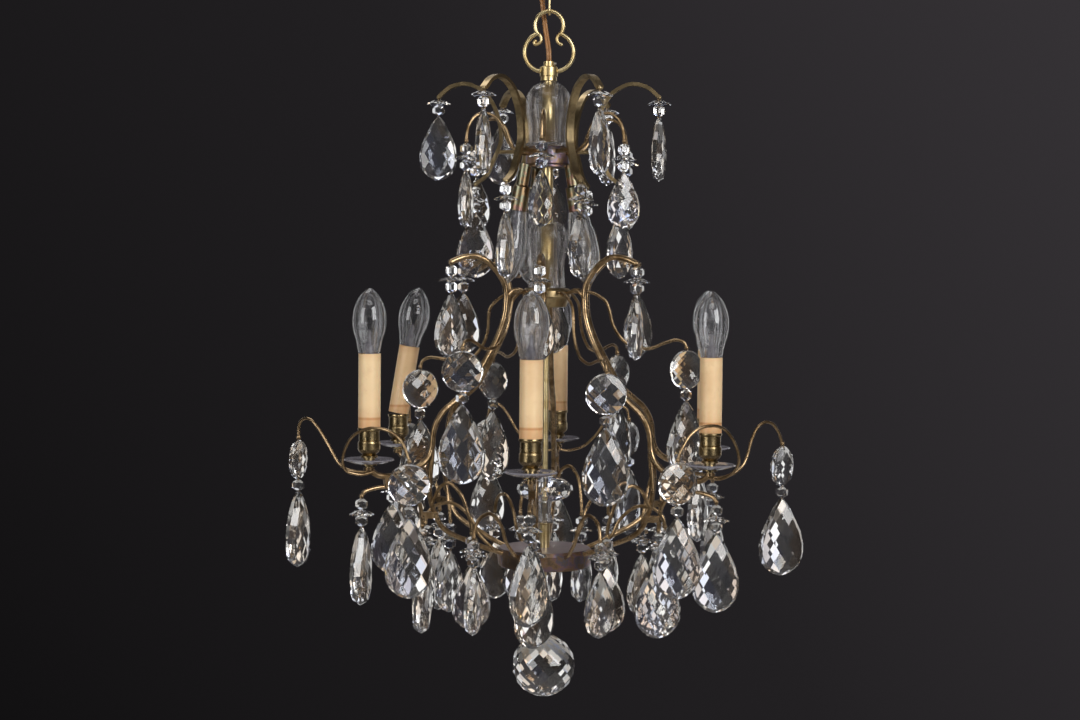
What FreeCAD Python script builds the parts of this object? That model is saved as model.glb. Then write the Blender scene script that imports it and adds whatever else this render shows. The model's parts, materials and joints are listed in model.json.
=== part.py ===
"""A cage chandelier: a brass frame of scrolls and thin wires on one stem, six candles and glass pendants.

Millimetres. +Z is up and the origin is on the ceiling plane, on the lamp's axis. The lamp hangs below it.
Heights inside the frame are worked out as depths below the point where the frame hangs on its link.
"""

import FreeCAD, Part
import Sketcher
import math
import os
import re

V = FreeCAD.Vector
UP = V(0, 0, 1)
ORIGIN = V(0, 0, 0)

doc = FreeCAD.newDocument("Chandelier")
sheet = doc.addObject("Spreadsheet::Sheet", "Sizes")

# ---------------------------------------------------------------------------------------------
# Driving sizes: name, millimetres or degrees, what it is
# ---------------------------------------------------------------------------------------------
SIZES = [
    # ceiling fitting, link and loop
    ("drop", 64, "ceiling plane to the point where the frame hangs"),
    ("rose_radius", 46, "ceiling rose, outside"),
    ("rose_depth", 15, "ceiling rose, rim to the flat bottom"),
    ("rose_wall", 1.6, "ceiling rose, metal thickness"),
    ("rose_screw_circle", 60, "pitch circle of the rose's two screws"),
    ("rose_screw_hole", 4.4, "screw hole diameter"),
    ("cable_bore", 14, "cable hole in the rose, diameter"),
    ("cable_bore_offset", 20, "cable hole's distance from the axis"),
    ("hook_wire", 5, "ceiling hook, wire diameter"),
    ("hook_bend", 7, "ceiling hook, inside radius of its ring"),
    ("link_wire", 2.6, "suspension link, wire diameter"),
    ("link_height", 30, "suspension link, inside height"),
    ("link_bend", 4.8, "suspension link, radius of its wire's centre line"),
    ("running_gap", 0.3, "clearance where one body hangs in another"),
    ("loop_wire", 4.4, "hanging loop, bar diameter"),
    ("loop_top_radius", 15.8, "hanging loop, centre line of the top lobe"),
    ("loop_low_radius", 27.3, "hanging loop, centre line of the lower lobes"),
    ("loop_low_depth", 46, "hanging loop, centre of the lower lobes, depth"),
    ("loop_curl", 3.6, "hanging loop, radius of the small inward curls"),
    ("cable_width", 6.4, "twin flex, outside width"),
    # stem, from the top down
    ("collar_depth", 59.6, "top of the loop's collar, depth"),
    ("collar_radius", 10, "loop's collar, radius"),
    ("collar_height", 10.7, "loop's collar, height"),
    ("rim_step", 1, "small step where two turned pieces meet"),
    ("slip", 0.1, "clearance of a hole round its shaft"),
    ("nut_radius", 9, "lock nut, radius"),
    ("nut_height", 5, "lock nut, height"),
    ("neck_radius", 4.2, "neck between the nut and the glass, radius"),
    ("neck_height", 2, "neck, height"),
    ("clamp_radius", 5.8, "cable clamp, radius"),
    ("clamp_height", 5.6, "cable clamp, height"),
    ("clamp_screw", 3, "cable clamp's side screw, diameter"),
    ("stem_radius", 5.8, "stem tube, outside radius"),
    ("stem_bore", 4.2, "stem tube, inside radius"),
    ("rod_radius", 3, "centre rod below the hub, radius"),
    ("seat_gap", 0.3, "gap between a glass and its seat"),
    ("upper_glass_radius", 26, "upper glass, widest radius"),
    ("upper_glass_height", 70.9, "upper glass, height"),
    ("glass_wall", 2, "wall of both stem glasses"),
    ("crown_radius", 25, "crown collar, radius"),
    ("crown_height", 23, "crown collar, height"),
    ("lower_glass_radius", 22.6, "lower glass, widest radius"),
    ("lower_glass_height", 74.3, "lower glass, height"),
    ("glass_spacing", 60.6, "crown collar to the lower glass"),
    ("hub_radius", 27, "main hub, radius"),
    ("hub_height", 19, "main hub, height"),
    ("cage_height", 193, "main hub to the faceted knop"),
    ("knop_radius", 31, "faceted knop, radius"),
    ("knop_height", 29, "faceted knop, height"),
    ("neck_glass_radius", 8, "glass neck under the knop, radius"),
    ("neck_glass_height", 21, "glass neck, height"),
    ("sleeve_radius", 5.6, "brass sleeve above the plate, radius"),
    ("sleeve_height", 30, "brass sleeve, height"),
    ("plate_radius", 54, "bottom plate, radius"),
    ("plate_height", 17, "bottom plate, height of its band"),
    ("plate_sheet", 2, "bottom plate, metal thickness"),
    ("nut_drop", 69.5, "bottom finial, under the plate's sheet to the ball's hook"),
    ("ball_radius", 35, "faceted ball, radius"),
    # scrolls and wires
    ("scroll_width", 8, "crown scroll, width of its flat bar"),
    ("scroll_thick", 4, "crown scroll, thickness"),
    ("crown_reach", 123.8, "crown scroll's hook, distance from the axis"),
    ("crown_foot_reach", 81, "crown scroll's foot, distance from the axis"),
    ("crown_wire_reach", 100, "crown wire's hook, distance from the axis"),
    ("thin_wire", 3.5, "crown and hub wires, diameter"),
    ("arm_rod", 6.5, "main arm, rod diameter"),
    ("arm_hook_reach", 117, "main arm's upper hook, distance from the axis"),
    ("candle_reach", 211.5, "candle axis, distance from the lamp's axis"),
    ("candle_depth", 194.8, "hub top to the candle pan's seat"),
    ("hub_wire_reach", 157.5, "hub wire's hook, distance from the axis"),
    ("cage_rod", 5.5, "lower scroll, rod diameter"),
    ("hook_rod", 4.6, "hooked scroll, rod diameter"),
    ("hook_reach", 149, "hooked scroll's crystal hook, distance from the axis"),
    ("tie_size", 7, "tie block between two scrolls"),
    ("plate_wire", 4, "plate wire, diameter"),
    ("plate_wire_reach", 135.7, "plate wire's hook, distance from the axis"),
    ("side_wire", 3.3, "side wire at a candle, diameter"),
    ("eye_radius", 2.6, "ball at a wire's end"),
    # candles
    ("cup_radius", 12.6, "candle cup, rim radius"),
    ("cup_height", 42.8, "candle cup, foot to rim"),
    ("cup_neck", 6.5, "candle cup, neck radius"),
    ("cup_stem", 4.2, "candle cup, stem radius under the pan"),
    ("pan_seat", 5.2, "candle cup's foot to the underside of the pan"),
    ("pan_radius", 27.5, "drip pan, radius"),
    ("pan_thick", 3, "drip pan, thickness"),
    ("candle_radius", 12, "candle sleeve, outside radius"),
    ("candle_wall", 1.2, "candle sleeve, wall"),
    ("candle_length", 80, "candle sleeve, length"),
    ("holder_radius", 9.6, "lamp holder inside the candle, radius"),
    ("holder_top_gap", 9, "top of the lamp holder below the candle's top"),
    ("bulb_radius", 17.5, "candle bulb, widest radius"),
    ("bulb_length", 69.5, "candle bulb, glass above the candle"),
    ("bulb_base", 6.6, "candle bulb, base radius"),
    ("bulb_seat", 10.4, "candle bulb, glass radius at the candle's top"),
    ("socket_depth", 12, "lamp holder, depth of its socket"),
    ("socket_gap", 0.3, "clearance of a bulb's base in its socket"),
    ("candle_lean", 9, "lean of the loose left-back candle, degrees"),
    # downlights
    ("down_radius", 9.6, "downlight holder, lower radius"),
    ("down_length", 50, "downlight holder, length"),
    ("down_into", 3, "downlight holder's top inside the crown collar"),
    ("down_lean", 9.4, "downlight, tilt from upright, degrees"),
    ("down_reach", 25.9, "downlight holder's top, distance from the axis"),
    ("down_bulb_base", 7.6, "downlight bulb, base radius"),
    ("down_bulb_seat", 9.4, "downlight bulb, glass radius at its holder"),
    ("down_bulb_radius", 16.6, "downlight bulb, widest radius"),
    ("down_bulb_length", 80, "downlight bulb, glass length"),
    ("down_socket", 8, "downlight holder, depth of its socket"),
    # crystals
    ("bead_size", 12, "bead, diameter"),
    ("rosette_radius", 14, "rosette, radius"),
    ("rosette_thick", 5.5, "rosette, thickness"),
    ("disc_radius", 22, "faceted disc, radius"),
    ("disc_thick", 11, "faceted disc, thickness"),
    ("large_width", 50, "large pendant, width"),
    ("large_height", 85, "large pendant, height"),
    ("large_thick", 19, "large pendant, thickness"),
    ("medium_width", 42, "medium pendant, width"),
    ("medium_height", 72, "medium pendant, height"),
    ("medium_thick", 16, "medium pendant, thickness"),
    ("small_width", 36, "small pendant, width"),
    ("small_height", 62, "small pendant, height"),
    ("small_thick", 14, "small pendant, thickness"),
    ("pendant_tip", 2.4, "radius of a pendant's top end"),
    ("net_share", 0.24, "one diamond facet, share of its pendant's width and height"),
    ("disc_net_share", 0.56, "one diamond facet, share of the disc's radius"),
]

for row, (alias, number, note) in enumerate(SIZES, start=1):
    sheet.set(f"A{row}", note)
    sheet.set(f"B{row}", str(number))
    sheet.setAlias(f"B{row}", alias)
doc.recompute()

ALIASES = {alias for alias, number, note in SIZES}


def bound(text):
    """The text of a FreeCAD expression, with each size's name pointed at its cell."""
    return re.sub(r"[a-z_]+", cell_name, text)


def cell_name(word):
    """One word of an expression, as its cell if it is a size's name."""
    return f"Sizes.{word.group()}" if word.group() in ALIASES else word.group()


def size(text):
    """The value of a size, or of a sum of sizes, read from the sheet."""
    return float(sheet.evalExpression(bound(text)))


# ---------------------------------------------------------------------------------------------
# Levels on the stem, as depths below the hanging point: each one follows from the piece above
# ---------------------------------------------------------------------------------------------
COLLAR_TOP = "collar_depth"
COLLAR_LOW = f"({COLLAR_TOP} + collar_height)"
NUT_LOW = f"({COLLAR_LOW} + nut_height)"
NECK_LOW = f"({NUT_LOW} + neck_height)"
UPPER_TOP = f"({NECK_LOW} + seat_gap)"
UPPER_LOW = f"({UPPER_TOP} + upper_glass_height)"
CROWN_TOP = f"({UPPER_LOW} + seat_gap)"
CROWN_LOW = f"({CROWN_TOP} + crown_height)"
LOWER_TOP = f"({CROWN_LOW} + glass_spacing)"
LOWER_LOW = f"({LOWER_TOP} + lower_glass_height)"
HUB_TOP = f"({LOWER_LOW} + seat_gap)"
HUB_LOW = f"({HUB_TOP} + hub_height)"
KNOP_TOP = f"({HUB_LOW} + cage_height)"
KNOP_LOW = f"({KNOP_TOP} + knop_height)"
NECK_GLASS_TOP = f"({KNOP_LOW} + seat_gap)"
NECK_GLASS_LOW = f"({NECK_GLASS_TOP} + neck_glass_height)"
SLEEVE_TOP = f"({NECK_GLASS_LOW} + seat_gap)"
PLATE_TOP = f"({SLEEVE_TOP} + sleeve_height)"
PLATE_LOW = f"({PLATE_TOP} + plate_height)"
SHEET_LOW = f"({PLATE_TOP} + plate_sheet)"
FINIAL_LOW = f"({SHEET_LOW} + nut_drop)"
CUP_SEAT = f"({HUB_TOP} + candle_depth)"

# Directions round the axis, in degrees from the front towards +X
ARM_ANGLES = (-4, 56, 116, 176, -124, -64)
GAP_ANGLES = (-34, 26, 86, 146, -154, -94)
DOWNLIGHT_ANGLES = (-80, 80, -154)
LEANING_ARM = -124

nodes = {}


def outward(angle):
    """Unit vector that points away from the axis at an angle."""
    return V(math.sin(math.radians(angle)), -math.cos(math.radians(angle)), 0)


def sideways(angle):
    """Unit vector along the circle at an angle, towards greater angles."""
    return V(math.cos(math.radians(angle)), math.sin(math.radians(angle)), 0)


def at(angle, reach, height, aside=0):
    """The point at a distance from the axis, a height and a step sideways."""
    return outward(angle) * reach + sideways(angle) * aside + UP * height


def turn_to(shape, angle):
    """A copy of a shape made along +X, turned to an angle round the axis."""
    copy = shape.copy()
    copy.rotate(ORIGIN, UP, angle - 90)
    return copy


# ---------------------------------------------------------------------------------------------
# Turned pieces: a sketched profile on the body's XZ plane, revolved about its Z axis
# ---------------------------------------------------------------------------------------------
def origin_plane(body, role):
    for feature in body.Origin.OriginFeatures:
        if feature.Role == role:
            return feature
    raise ValueError(role)


def sketch_profile(body, name, corners):
    """A closed sketch. corners are pairs of text: distance from the axis, and height."""
    sketch = body.newObject("Sketcher::SketchObject", name)
    sketch.AttachmentSupport = (origin_plane(body, "XZ_Plane"), [""])
    sketch.MapMode = "FlatFace"
    places = [V(size(across), size(height), 0) for across, height in corners]
    count = len(places)
    for index, place in enumerate(places):
        sketch.addGeometry(Part.LineSegment(place, places[(index + 1) % count]), False)
    for index in range(count):
        sketch.addConstraint(Sketcher.Constraint("Coincident", index, 2, (index + 1) % count, 1))
    for index, (across, height) in enumerate(corners):
        if across == "0":
            sketch.addConstraint(Sketcher.Constraint("PointOnObject", index, 1, -2))
        else:
            number = sketch.addConstraint(
                Sketcher.Constraint("DistanceX", -1, 1, index, 1, places[index].x))
            sketch.setExpression(f"Constraints[{number}]", bound(across))
        number = sketch.addConstraint(
            Sketcher.Constraint("DistanceY", -1, 1, index, 1, places[index].y))
        sketch.setExpression(f"Constraints[{number}]", bound(height))
    return sketch


def turned(name, corners):
    """A body turned from one profile."""
    body = doc.addObject("PartDesign::Body", name)
    sketch = sketch_profile(body, f"{name}_profile", corners)
    turning = body.newObject("PartDesign::Revolution", f"{name}_turning")
    turning.Profile = sketch
    turning.ReferenceAxis = (sketch, ["V_Axis"])
    turning.Angle = 360
    body.Tip = turning
    doc.recompute()
    return body


def keep(body, name):
    """Names a body as a node of the frame, at the frame's own height."""
    body.Label = name
    body.setExpression("Placement.Base.z", bound("0 - drop"))
    nodes[name] = body


def keep_shape(name, shapes, height="0 - drop"):
    """A node made with Part's functions: one solid, or several as a group."""
    solids = []
    for shape in shapes:
        solids += shape.Solids
    piece = doc.addObject("Part::Feature", name)
    piece.Label = name
    piece.Shape = solids[0] if len(solids) == 1 else Part.makeCompound(solids)
    piece.Placement = FreeCAD.Placement(V(0, 0, size(height)), FreeCAD.Rotation())
    nodes[name] = piece


# ---------------------------------------------------------------------------------------------
# Bent rods: straight runs joined by tangent arcs, with a section swept along them
# ---------------------------------------------------------------------------------------------
BEND_SHARE = 0.45
NO_BEND = 0.001


def bend_radius(before, corner, after):
    """The largest radius that leaves a little straight in the shorter of two runs."""
    run_in = corner - before
    run_out = after - corner
    half_turn = run_in.getAngle(run_out) / 2
    return BEND_SHARE * min(run_in.Length, run_out.Length) / math.tan(half_turn)


def rod_path(points):
    """One wire of lines and tangent arcs through a list of points."""
    edges = []
    start = points[0]
    for before, corner, after in zip(points, points[1:], points[2:]):
        back = (before - corner).normalize()
        ahead = (after - corner).normalize()
        half_turn = (math.pi - back.getAngle(ahead)) / 2
        if half_turn < NO_BEND:
            continue
        radius = bend_radius(before, corner, after)
        setback = radius * math.tan(half_turn)
        middle = corner + (back + ahead).normalize() * (radius / math.cos(half_turn) - radius)
        edges.append(Part.LineSegment(start, corner + back * setback).toShape())
        edges.append(Part.Arc(corner + back * setback, middle, corner + ahead * setback).toShape())
        start = corner + ahead * setback
    edges.append(Part.LineSegment(start, points[-1]).toShape())
    return Part.Wire(edges)


def bent_rod(points, diameter):
    """A round rod along a list of points."""
    circle = Part.makeCircle(diameter / 2, points[0], points[1] - points[0])
    return rod_path(points).makePipeShell([Part.Wire(circle)], True, False)


def arc_rod(first, middle, last, diameter):
    """A round rod along one arc through three points, with ball ends."""
    path = Part.Wire([Part.Arc(first, middle, last).toShape()])
    along = path.Edges[0].tangentAt(path.Edges[0].FirstParameter)
    section = Part.Wire(Part.makeCircle(diameter / 2, first, along))
    rod = path.makePipeShell([section], True, False)
    return rod.fuse([ball(first, diameter / 2), ball(last, diameter / 2)])


def ball(centre, radius):
    return Part.makeSphere(radius, centre)


def joined(shapes):
    """One solid from shapes that run into each other."""
    return shapes[0].fuse(shapes[1:]).removeSplitter()


def fitted(points, start, end):
    """Moves a curve's ends to two places. Points between move by their share of the way."""
    last = len(points) - 1
    shift_start = start - points[0]
    shift_end = end - points[last]
    moved = []
    for index, point in enumerate(points):
        share = index / last
        moved.append(point + shift_start * (1 - share) + shift_end * share)
    return moved


def upright(pairs, below="0"):
    """Points in the plane y = 0 from pairs of reach and depth, below a level."""
    return [V(reach, 0, -size(below) - depth) for reach, depth in pairs]


def all_round(shape, angles):
    return [turn_to(shape, angle) for angle in angles]


# ---------------------------------------------------------------------------------------------
# Ceiling rose and eye, above the frame
# ---------------------------------------------------------------------------------------------
rose = turned("ceiling_rose_body", [
    ("hook_wire / 2 + slip", "0 - rose_depth"),
    ("rose_radius - rose_depth / 2", "0 - rose_depth"),
    ("rose_radius", "0 - rose_depth / 2"),
    ("rose_radius", "0"),
    ("rose_radius - rose_wall", "0"),
    ("rose_radius - rose_wall", "0 - rose_depth / 2"),
    ("rose_radius - rose_wall - rose_depth / 2", "rose_wall - rose_depth"),
    ("hook_wire / 2 + slip", "rose_wall - rose_depth"),
])
CABLE_ANGLE = 120
holes = rose.newObject("Sketcher::SketchObject", "rose_holes")
holes.AttachmentSupport = (origin_plane(rose, "XY_Plane"), [""])
holes.MapMode = "FlatFace"
bore_across = f"cos({CABLE_ANGLE}) * cable_bore_offset"
bore_along = f"sin({CABLE_ANGLE}) * cable_bore_offset"
HOLES = [
    (bore_across, bore_along, "cable_bore / 2"),
    ("rose_screw_circle / 2", "0", "rose_screw_hole / 2"),
    ("0 - rose_screw_circle / 2", "0", "rose_screw_hole / 2"),
]
for index, (across, along, radius) in enumerate(HOLES):
    place = V(size(across), size(along), 0)
    holes.addGeometry(Part.Circle(place, UP, size(radius)), False)
    for kind, text in (("DistanceX", across), ("DistanceY", along)):
        if text == "0":
            holes.addConstraint(Sketcher.Constraint("PointOnObject", index, 3, -1))
            continue
        number = holes.addConstraint(Sketcher.Constraint(kind, -1, 1, index, 3, size(text)))
        holes.setExpression(f"Constraints[{number}]", bound(text))
    number = holes.addConstraint(Sketcher.Constraint("Radius", index, size(radius)))
    holes.setExpression(f"Constraints[{number}]", bound(radius))
drilling = rose.newObject("PartDesign::Pocket", "rose_drilling")
drilling.Profile = holes
drilling.Type = "ThroughAll"
rose.Tip = drilling
rose.Label = "ceiling_rose"
nodes["ceiling_rose"] = rose

# The link's lower wire lies just under the loop's bar, and its top hangs on the eye's wire
LINK_LOW = -size("link_wire / 2 + running_gap")
LINK_TOP = size("link_height - running_gap")
EYE_WIRE = LINK_TOP - size("running_gap + hook_wire / 2")
EYE_RING = size("hook_bend + hook_wire / 2")
EYE_CENTRE = EYE_WIRE + EYE_RING
ring = Part.makeTorus(EYE_RING, size("hook_wire / 2"), V(0, 0, EYE_CENTRE), V(0, 1, 0))
shank_low = EYE_CENTRE + EYE_RING
shank_top = size("drop - rose_depth + rose_wall") + size("hook_wire")
shank = Part.makeCylinder(size("hook_wire / 2"), shank_top - shank_low, V(0, 0, shank_low))
keep_shape("ceiling_eye", [joined([ring, shank])])


def hexagon(across, height, low):
    """A six-sided block on the axis, from a height upwards."""
    corners = [V(across * math.cos(math.radians(60 * step)), across * math.sin(math.radians(60 * step)), low)
               for step in range(7)]
    return Part.Face(Part.makePolygon(corners)).extrude(V(0, 0, height))


nut_low = size("drop - rose_depth + rose_wall")
nut_height = size("hook_wire * 0.8")
nut = hexagon(size("hook_wire * 1.05"), nut_height, nut_low)
nut = nut.cut(Part.makeCylinder(size("hook_wire / 2 + slip / 2"), nut_height, V(0, 0, nut_low)))
keep_shape("eye_nut", [nut])

# ---------------------------------------------------------------------------------------------
# Link, loop and cable
# ---------------------------------------------------------------------------------------------
LINK_TURN = 30
bend = size("link_bend")
low_centre = LINK_LOW + bend
top_centre = LINK_TOP + size("link_wire / 2") - bend
link_edges = [
    Part.Arc(V(0, -bend, low_centre), V(0, 0, low_centre - bend), V(0, bend, low_centre)).toShape(),
    Part.LineSegment(V(0, bend, low_centre), V(0, bend, top_centre)).toShape(),
    Part.Arc(V(0, bend, top_centre), V(0, 0, top_centre + bend), V(0, -bend, top_centre)).toShape(),
    Part.LineSegment(V(0, -bend, top_centre), V(0, -bend, low_centre)).toShape(),
]
link_section = Part.Wire(Part.makeCircle(size("link_wire / 2"), V(0, -bend, low_centre), UP))
link = Part.Wire(link_edges).makePipeShell([link_section], True, False)
link.rotate(ORIGIN, UP, LINK_TURN)
keep_shape("suspension_link", [link])

loop_bar = size("loop_wire")
curl_bar = size("loop_wire * 0.8")
lobe = size("loop_top_radius")
lobe_centre = size("loop_wire / 2") - lobe
LOBE_END = 54
lobe_end = math.radians(LOBE_END)
lobe_foot = V(lobe * math.sin(lobe_end), 0, lobe_centre - lobe * math.cos(lobe_end))
loop_side = size("loop_low_radius")
low_depth = size("loop_low_depth")
curl = size("loop_curl")
loop_parts = [arc_rod(V(-lobe_foot.x, 0, lobe_foot.z), V(0, 0, lobe_centre + lobe), lobe_foot, loop_bar)]
for side in (-1, 1):
    foot = V(side * lobe_foot.x, 0, lobe_foot.z)
    curl_low = foot + V(0.3 * side * curl, 0, -3.3 * curl)
    loop_parts.append(arc_rod(foot, foot + V(-side * curl, 0, -2.2 * curl), curl_low, curl_bar))
    loop_parts.append(arc_rod(curl_low, curl_low + V(side * curl * 0.8, 0, curl * 0.4),
                              curl_low + V(side * curl * 0.4, 0, curl), curl_bar))
    collar_side = V(side * size("collar_radius - 1"), 0, -size("collar_depth + collar_height / 2"))
    loop_parts.append(arc_rod(foot, V(side * loop_side, 0, -low_depth), collar_side, loop_bar))
keep_shape("hanging_loop", [joined(loop_parts)])

# The clamp stands on the collar, and its screw goes in from the side
CLAMP_TOP = -size("collar_depth - clamp_height")
SCREW_INTO = 1.5
clamp = Part.makeCylinder(size("clamp_radius"), size("clamp_height"), V(0, 0, -size("collar_depth")))
screw_place = V(size("clamp_radius") - SCREW_INTO, 0, CLAMP_TOP - size("clamp_height / 2"))
clamp_screw = Part.makeCylinder(size("clamp_screw / 2"), size("clamp_screw * 1.3"), screw_place, V(1, 0, 0))
keep_shape("cable_clamp", [clamp.cut(clamp_screw)])
keep_shape("clamp_screw", [clamp_screw])

# The flex's route, chosen by hand: up from the clamp, behind the loop's bar, into the rose's bore
CABLE_ROUTE = [
    V(0, 0, -54), V(0, 0, -42), V(-3.2, 5.6, -24), V(-6, 9.8, -4), V(-8.2, 12.4, 16), V(-10, 17.3, 36),
    V(-10, 17.3, 54),
]
cable = bent_rod(CABLE_ROUTE, size("cable_width"))
keep_shape("supply_cable", [cable])
for before, corner, after in zip(CABLE_ROUTE, CABLE_ROUTE[1:], CABLE_ROUTE[2:]):
    print("cable bend radius", round(bend_radius(before, corner, after), 1))
path_length = rod_path(CABLE_ROUTE).Length
tube_volume = math.pi * size("cable_width / 2") ** 2 * path_length
print("cable length", round(path_length, 1), "volume share", round(cable.Volume / tube_volume, 4))

# ---------------------------------------------------------------------------------------------
# Turned pieces on the stem
# ---------------------------------------------------------------------------------------------
def below(level, more="0"):
    return f"0 - {level} - {more}"


keep(turned("lock_nuts_body", [
    ("0", below(COLLAR_TOP)),
    ("collar_radius - rim_step", below(COLLAR_TOP)),
    ("collar_radius", below(COLLAR_TOP, "rim_step")),
    ("collar_radius", below(COLLAR_LOW)),
    ("nut_radius - rim_step", below(COLLAR_LOW)),
    ("nut_radius - rim_step", below(COLLAR_LOW, "rim_step")),
    ("nut_radius", below(COLLAR_LOW, "rim_step")),
    ("nut_radius", below(NUT_LOW)),
    ("neck_radius", below(NUT_LOW)),
    ("neck_radius", below(NECK_LOW)),
    ("0", below(NECK_LOW)),
]), "lock_nuts")

keep(turned("stem_tube_body", [
    ("stem_bore", below(NECK_LOW)),
    ("stem_radius", below(NECK_LOW)),
    ("stem_radius", below(HUB_LOW)),
    ("stem_bore", below(HUB_LOW)),
]), "stem_tube")

keep(turned("centre_rod_body", [
    ("0", below(HUB_LOW)),
    ("rod_radius", below(HUB_LOW)),
    ("rod_radius", below(SHEET_LOW)),
    ("0", below(SHEET_LOW)),
]), "centre_rod")

keep(turned("crown_collar_body", [
    ("stem_radius + slip", below(CROWN_TOP)),
    ("crown_radius - 4", below(CROWN_TOP)),
    ("crown_radius - 3", below(CROWN_TOP, "2")),
    ("crown_radius", below(CROWN_TOP, "4")),
    ("crown_radius", below(CROWN_LOW, "0 + 4")),
    ("crown_radius - 2", below(CROWN_LOW, "0 + 2")),
    ("crown_radius - 2", below(CROWN_LOW)),
    ("stem_radius + slip", below(CROWN_LOW)),
]), "crown_collar")

keep(turned("main_hub_body", [
    ("stem_radius + slip", below(HUB_TOP)),
    ("hub_radius - 3", below(HUB_TOP)),
    ("hub_radius", below(HUB_TOP, "3")),
    ("hub_radius", below(HUB_TOP, "hub_height / 2")),
    ("hub_radius - 2", below(HUB_TOP, "hub_height / 2 - 2")),
    ("hub_radius - 5", below(HUB_LOW, "0 - 2")),
    ("hub_radius - 8", below(HUB_LOW)),
    ("stem_radius + slip", below(HUB_LOW)),
]), "main_hub")

keep(turned("stem_sleeve_body", [
    ("rod_radius + slip", below(SLEEVE_TOP)),
    ("sleeve_radius + 1", below(SLEEVE_TOP)),
    ("sleeve_radius + 1", below(SLEEVE_TOP, "3")),
    ("sleeve_radius", below(SLEEVE_TOP, "4")),
    ("sleeve_radius", below(PLATE_TOP)),
    ("rod_radius + slip", below(PLATE_TOP)),
]), "stem_sleeve")

keep(turned("bottom_plate_body", [
    ("rod_radius + slip", below(PLATE_TOP)),
    ("plate_radius - 3", below(PLATE_TOP)),
    ("plate_radius", below(PLATE_TOP, "4")),
    ("plate_radius - 2", below(PLATE_TOP, "plate_height - 2")),
    ("plate_radius - 9", below(PLATE_LOW)),
    ("plate_radius - 9", below(PLATE_LOW, "0 - plate_sheet")),
    ("plate_radius - plate_sheet - 3", below(PLATE_TOP, "plate_height - 4")),
    ("plate_radius - plate_sheet - 1", below(PLATE_TOP, "5")),
    ("plate_radius - plate_sheet - 3", below(PLATE_TOP, "plate_sheet")),
    ("rod_radius + slip", below(PLATE_TOP, "plate_sheet")),
]), "bottom_plate")

FINIAL_FLARE = 3
finial = turned("bottom_finial_body", [
    ("0", below(SHEET_LOW)),
    (f"rod_radius * {FINIAL_FLARE}", below(SHEET_LOW)),
    (f"rod_radius * {FINIAL_FLARE}", below(SHEET_LOW, "4")),
    ("rod_radius * 2", below(SHEET_LOW, "8")),
    ("rod_radius", below(SHEET_LOW, "14")),
    ("eye_radius / 2", below(FINIAL_LOW)),
    ("0", below(FINIAL_LOW)),
])
keep_shape("bottom_finial", [joined([finial.Shape, ball(V(0, 0, -size(FINIAL_LOW)), size("eye_radius"))])])


def stem_glass(name, widest, height, top_level, shape):
    """A blown glass shell round the stem. shape: shares of the widest radius and of the height."""
    wall = size("glass_wall")
    bore = size("stem_radius + seat_gap")
    top = -size(top_level)
    outer = [(size(widest) * radius, top - size(height) * depth) for radius, depth in shape]
    inner = [(radius - wall, level) for radius, level in outer]
    inner[0] = (inner[0][0], top - wall)
    outer_curve = Part.BSplineCurve()
    outer_curve.interpolate([V(radius, 0, level) for radius, level in outer])
    inner_curve = Part.BSplineCurve()
    inner_curve.interpolate([V(radius, 0, level) for radius, level in inner])
    corners = [
        (V(outer[-1][0], 0, outer[-1][1]), V(inner[-1][0], 0, inner[-1][1])),
        (V(inner[0][0], 0, inner[0][1]), V(bore, 0, top - wall)),
        (V(bore, 0, top - wall), V(bore, 0, top)),
        (V(bore, 0, top), V(outer[0][0], 0, top)),
    ]
    edges = [outer_curve.toShape(), inner_curve.toShape()]
    edges += [Part.LineSegment(start, end).toShape() for start, end in corners]
    wire = Part.Wire(Part.__sortEdges__(edges))
    keep_shape(name, [Part.Face(wire).revolve(ORIGIN, UP, 360)])


stem_glass("upper_glass", "upper_glass_radius", "upper_glass_height", UPPER_TOP, [
    (0.4, 0), (0.63, 0.045), (0.83, 0.125), (0.94, 0.22), (0.98, 0.34), (0.95, 0.48), (0.885, 0.64), (0.85, 0.8),
    (0.86, 0.94), (0.88, 1)])
stem_glass("lower_glass", "lower_glass_radius", "lower_glass_height", LOWER_TOP, [
    (0.5, 0), (0.83, 0.06), (1, 0.2), (0.99, 0.4), (0.87, 0.62), (0.88, 0.85), (0.92, 1)])

# ---------------------------------------------------------------------------------------------
# Faceted glass: blocks cut down by flat planes
# ---------------------------------------------------------------------------------------------
GRINDSTONE = 400


def facet(block, normal, distance):
    """What is left of a block after one flat facet is ground at a distance from the origin."""
    normal = V(normal).normalize()
    corner = normal * distance - plane_corner(normal, GRINDSTONE)
    face = Part.makePlane(GRINDSTONE, GRINDSTONE, corner, normal, any_across(normal))
    return block.cut(face.extrude(normal * GRINDSTONE))


def any_across(normal):
    """A unit vector at right angles to another."""
    other = V(1, 0, 0) if abs(normal.x) < 0.7 else V(0, 1, 0)
    return normal.cross(other).normalize()


def plane_corner(normal, far):
    across = any_across(normal)
    return (across + normal.cross(across)) * (far / 2)


def sides_of(outline, count):
    """Directions round an outline in the XZ plane, each with the point of it that it touches."""
    turns = [2 * math.pi * index / count for index in range(count)]
    directions = [V(math.sin(turn), 0, math.cos(turn)) for turn in turns]
    return [(direction, max(outline, key=direction.dot)) for direction in directions]


def both_faces(block, normal, distance):
    """The same facet ground on the front and on the back."""
    for front in (-1, 1):
        block = facet(block, V(normal.x, front * normal.y, normal.z), distance)
    return block


def rim_facets(block, sides, slope):
    """A row of facets round the outline, at a slope from the thin direction's edge."""
    lean = math.radians(slope)
    for direction, point in sides:
        normal = direction * math.cos(lean) + V(0, math.sin(lean), 0)
        block = both_faces(block, normal, point.dot(normal))
    return block


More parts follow.
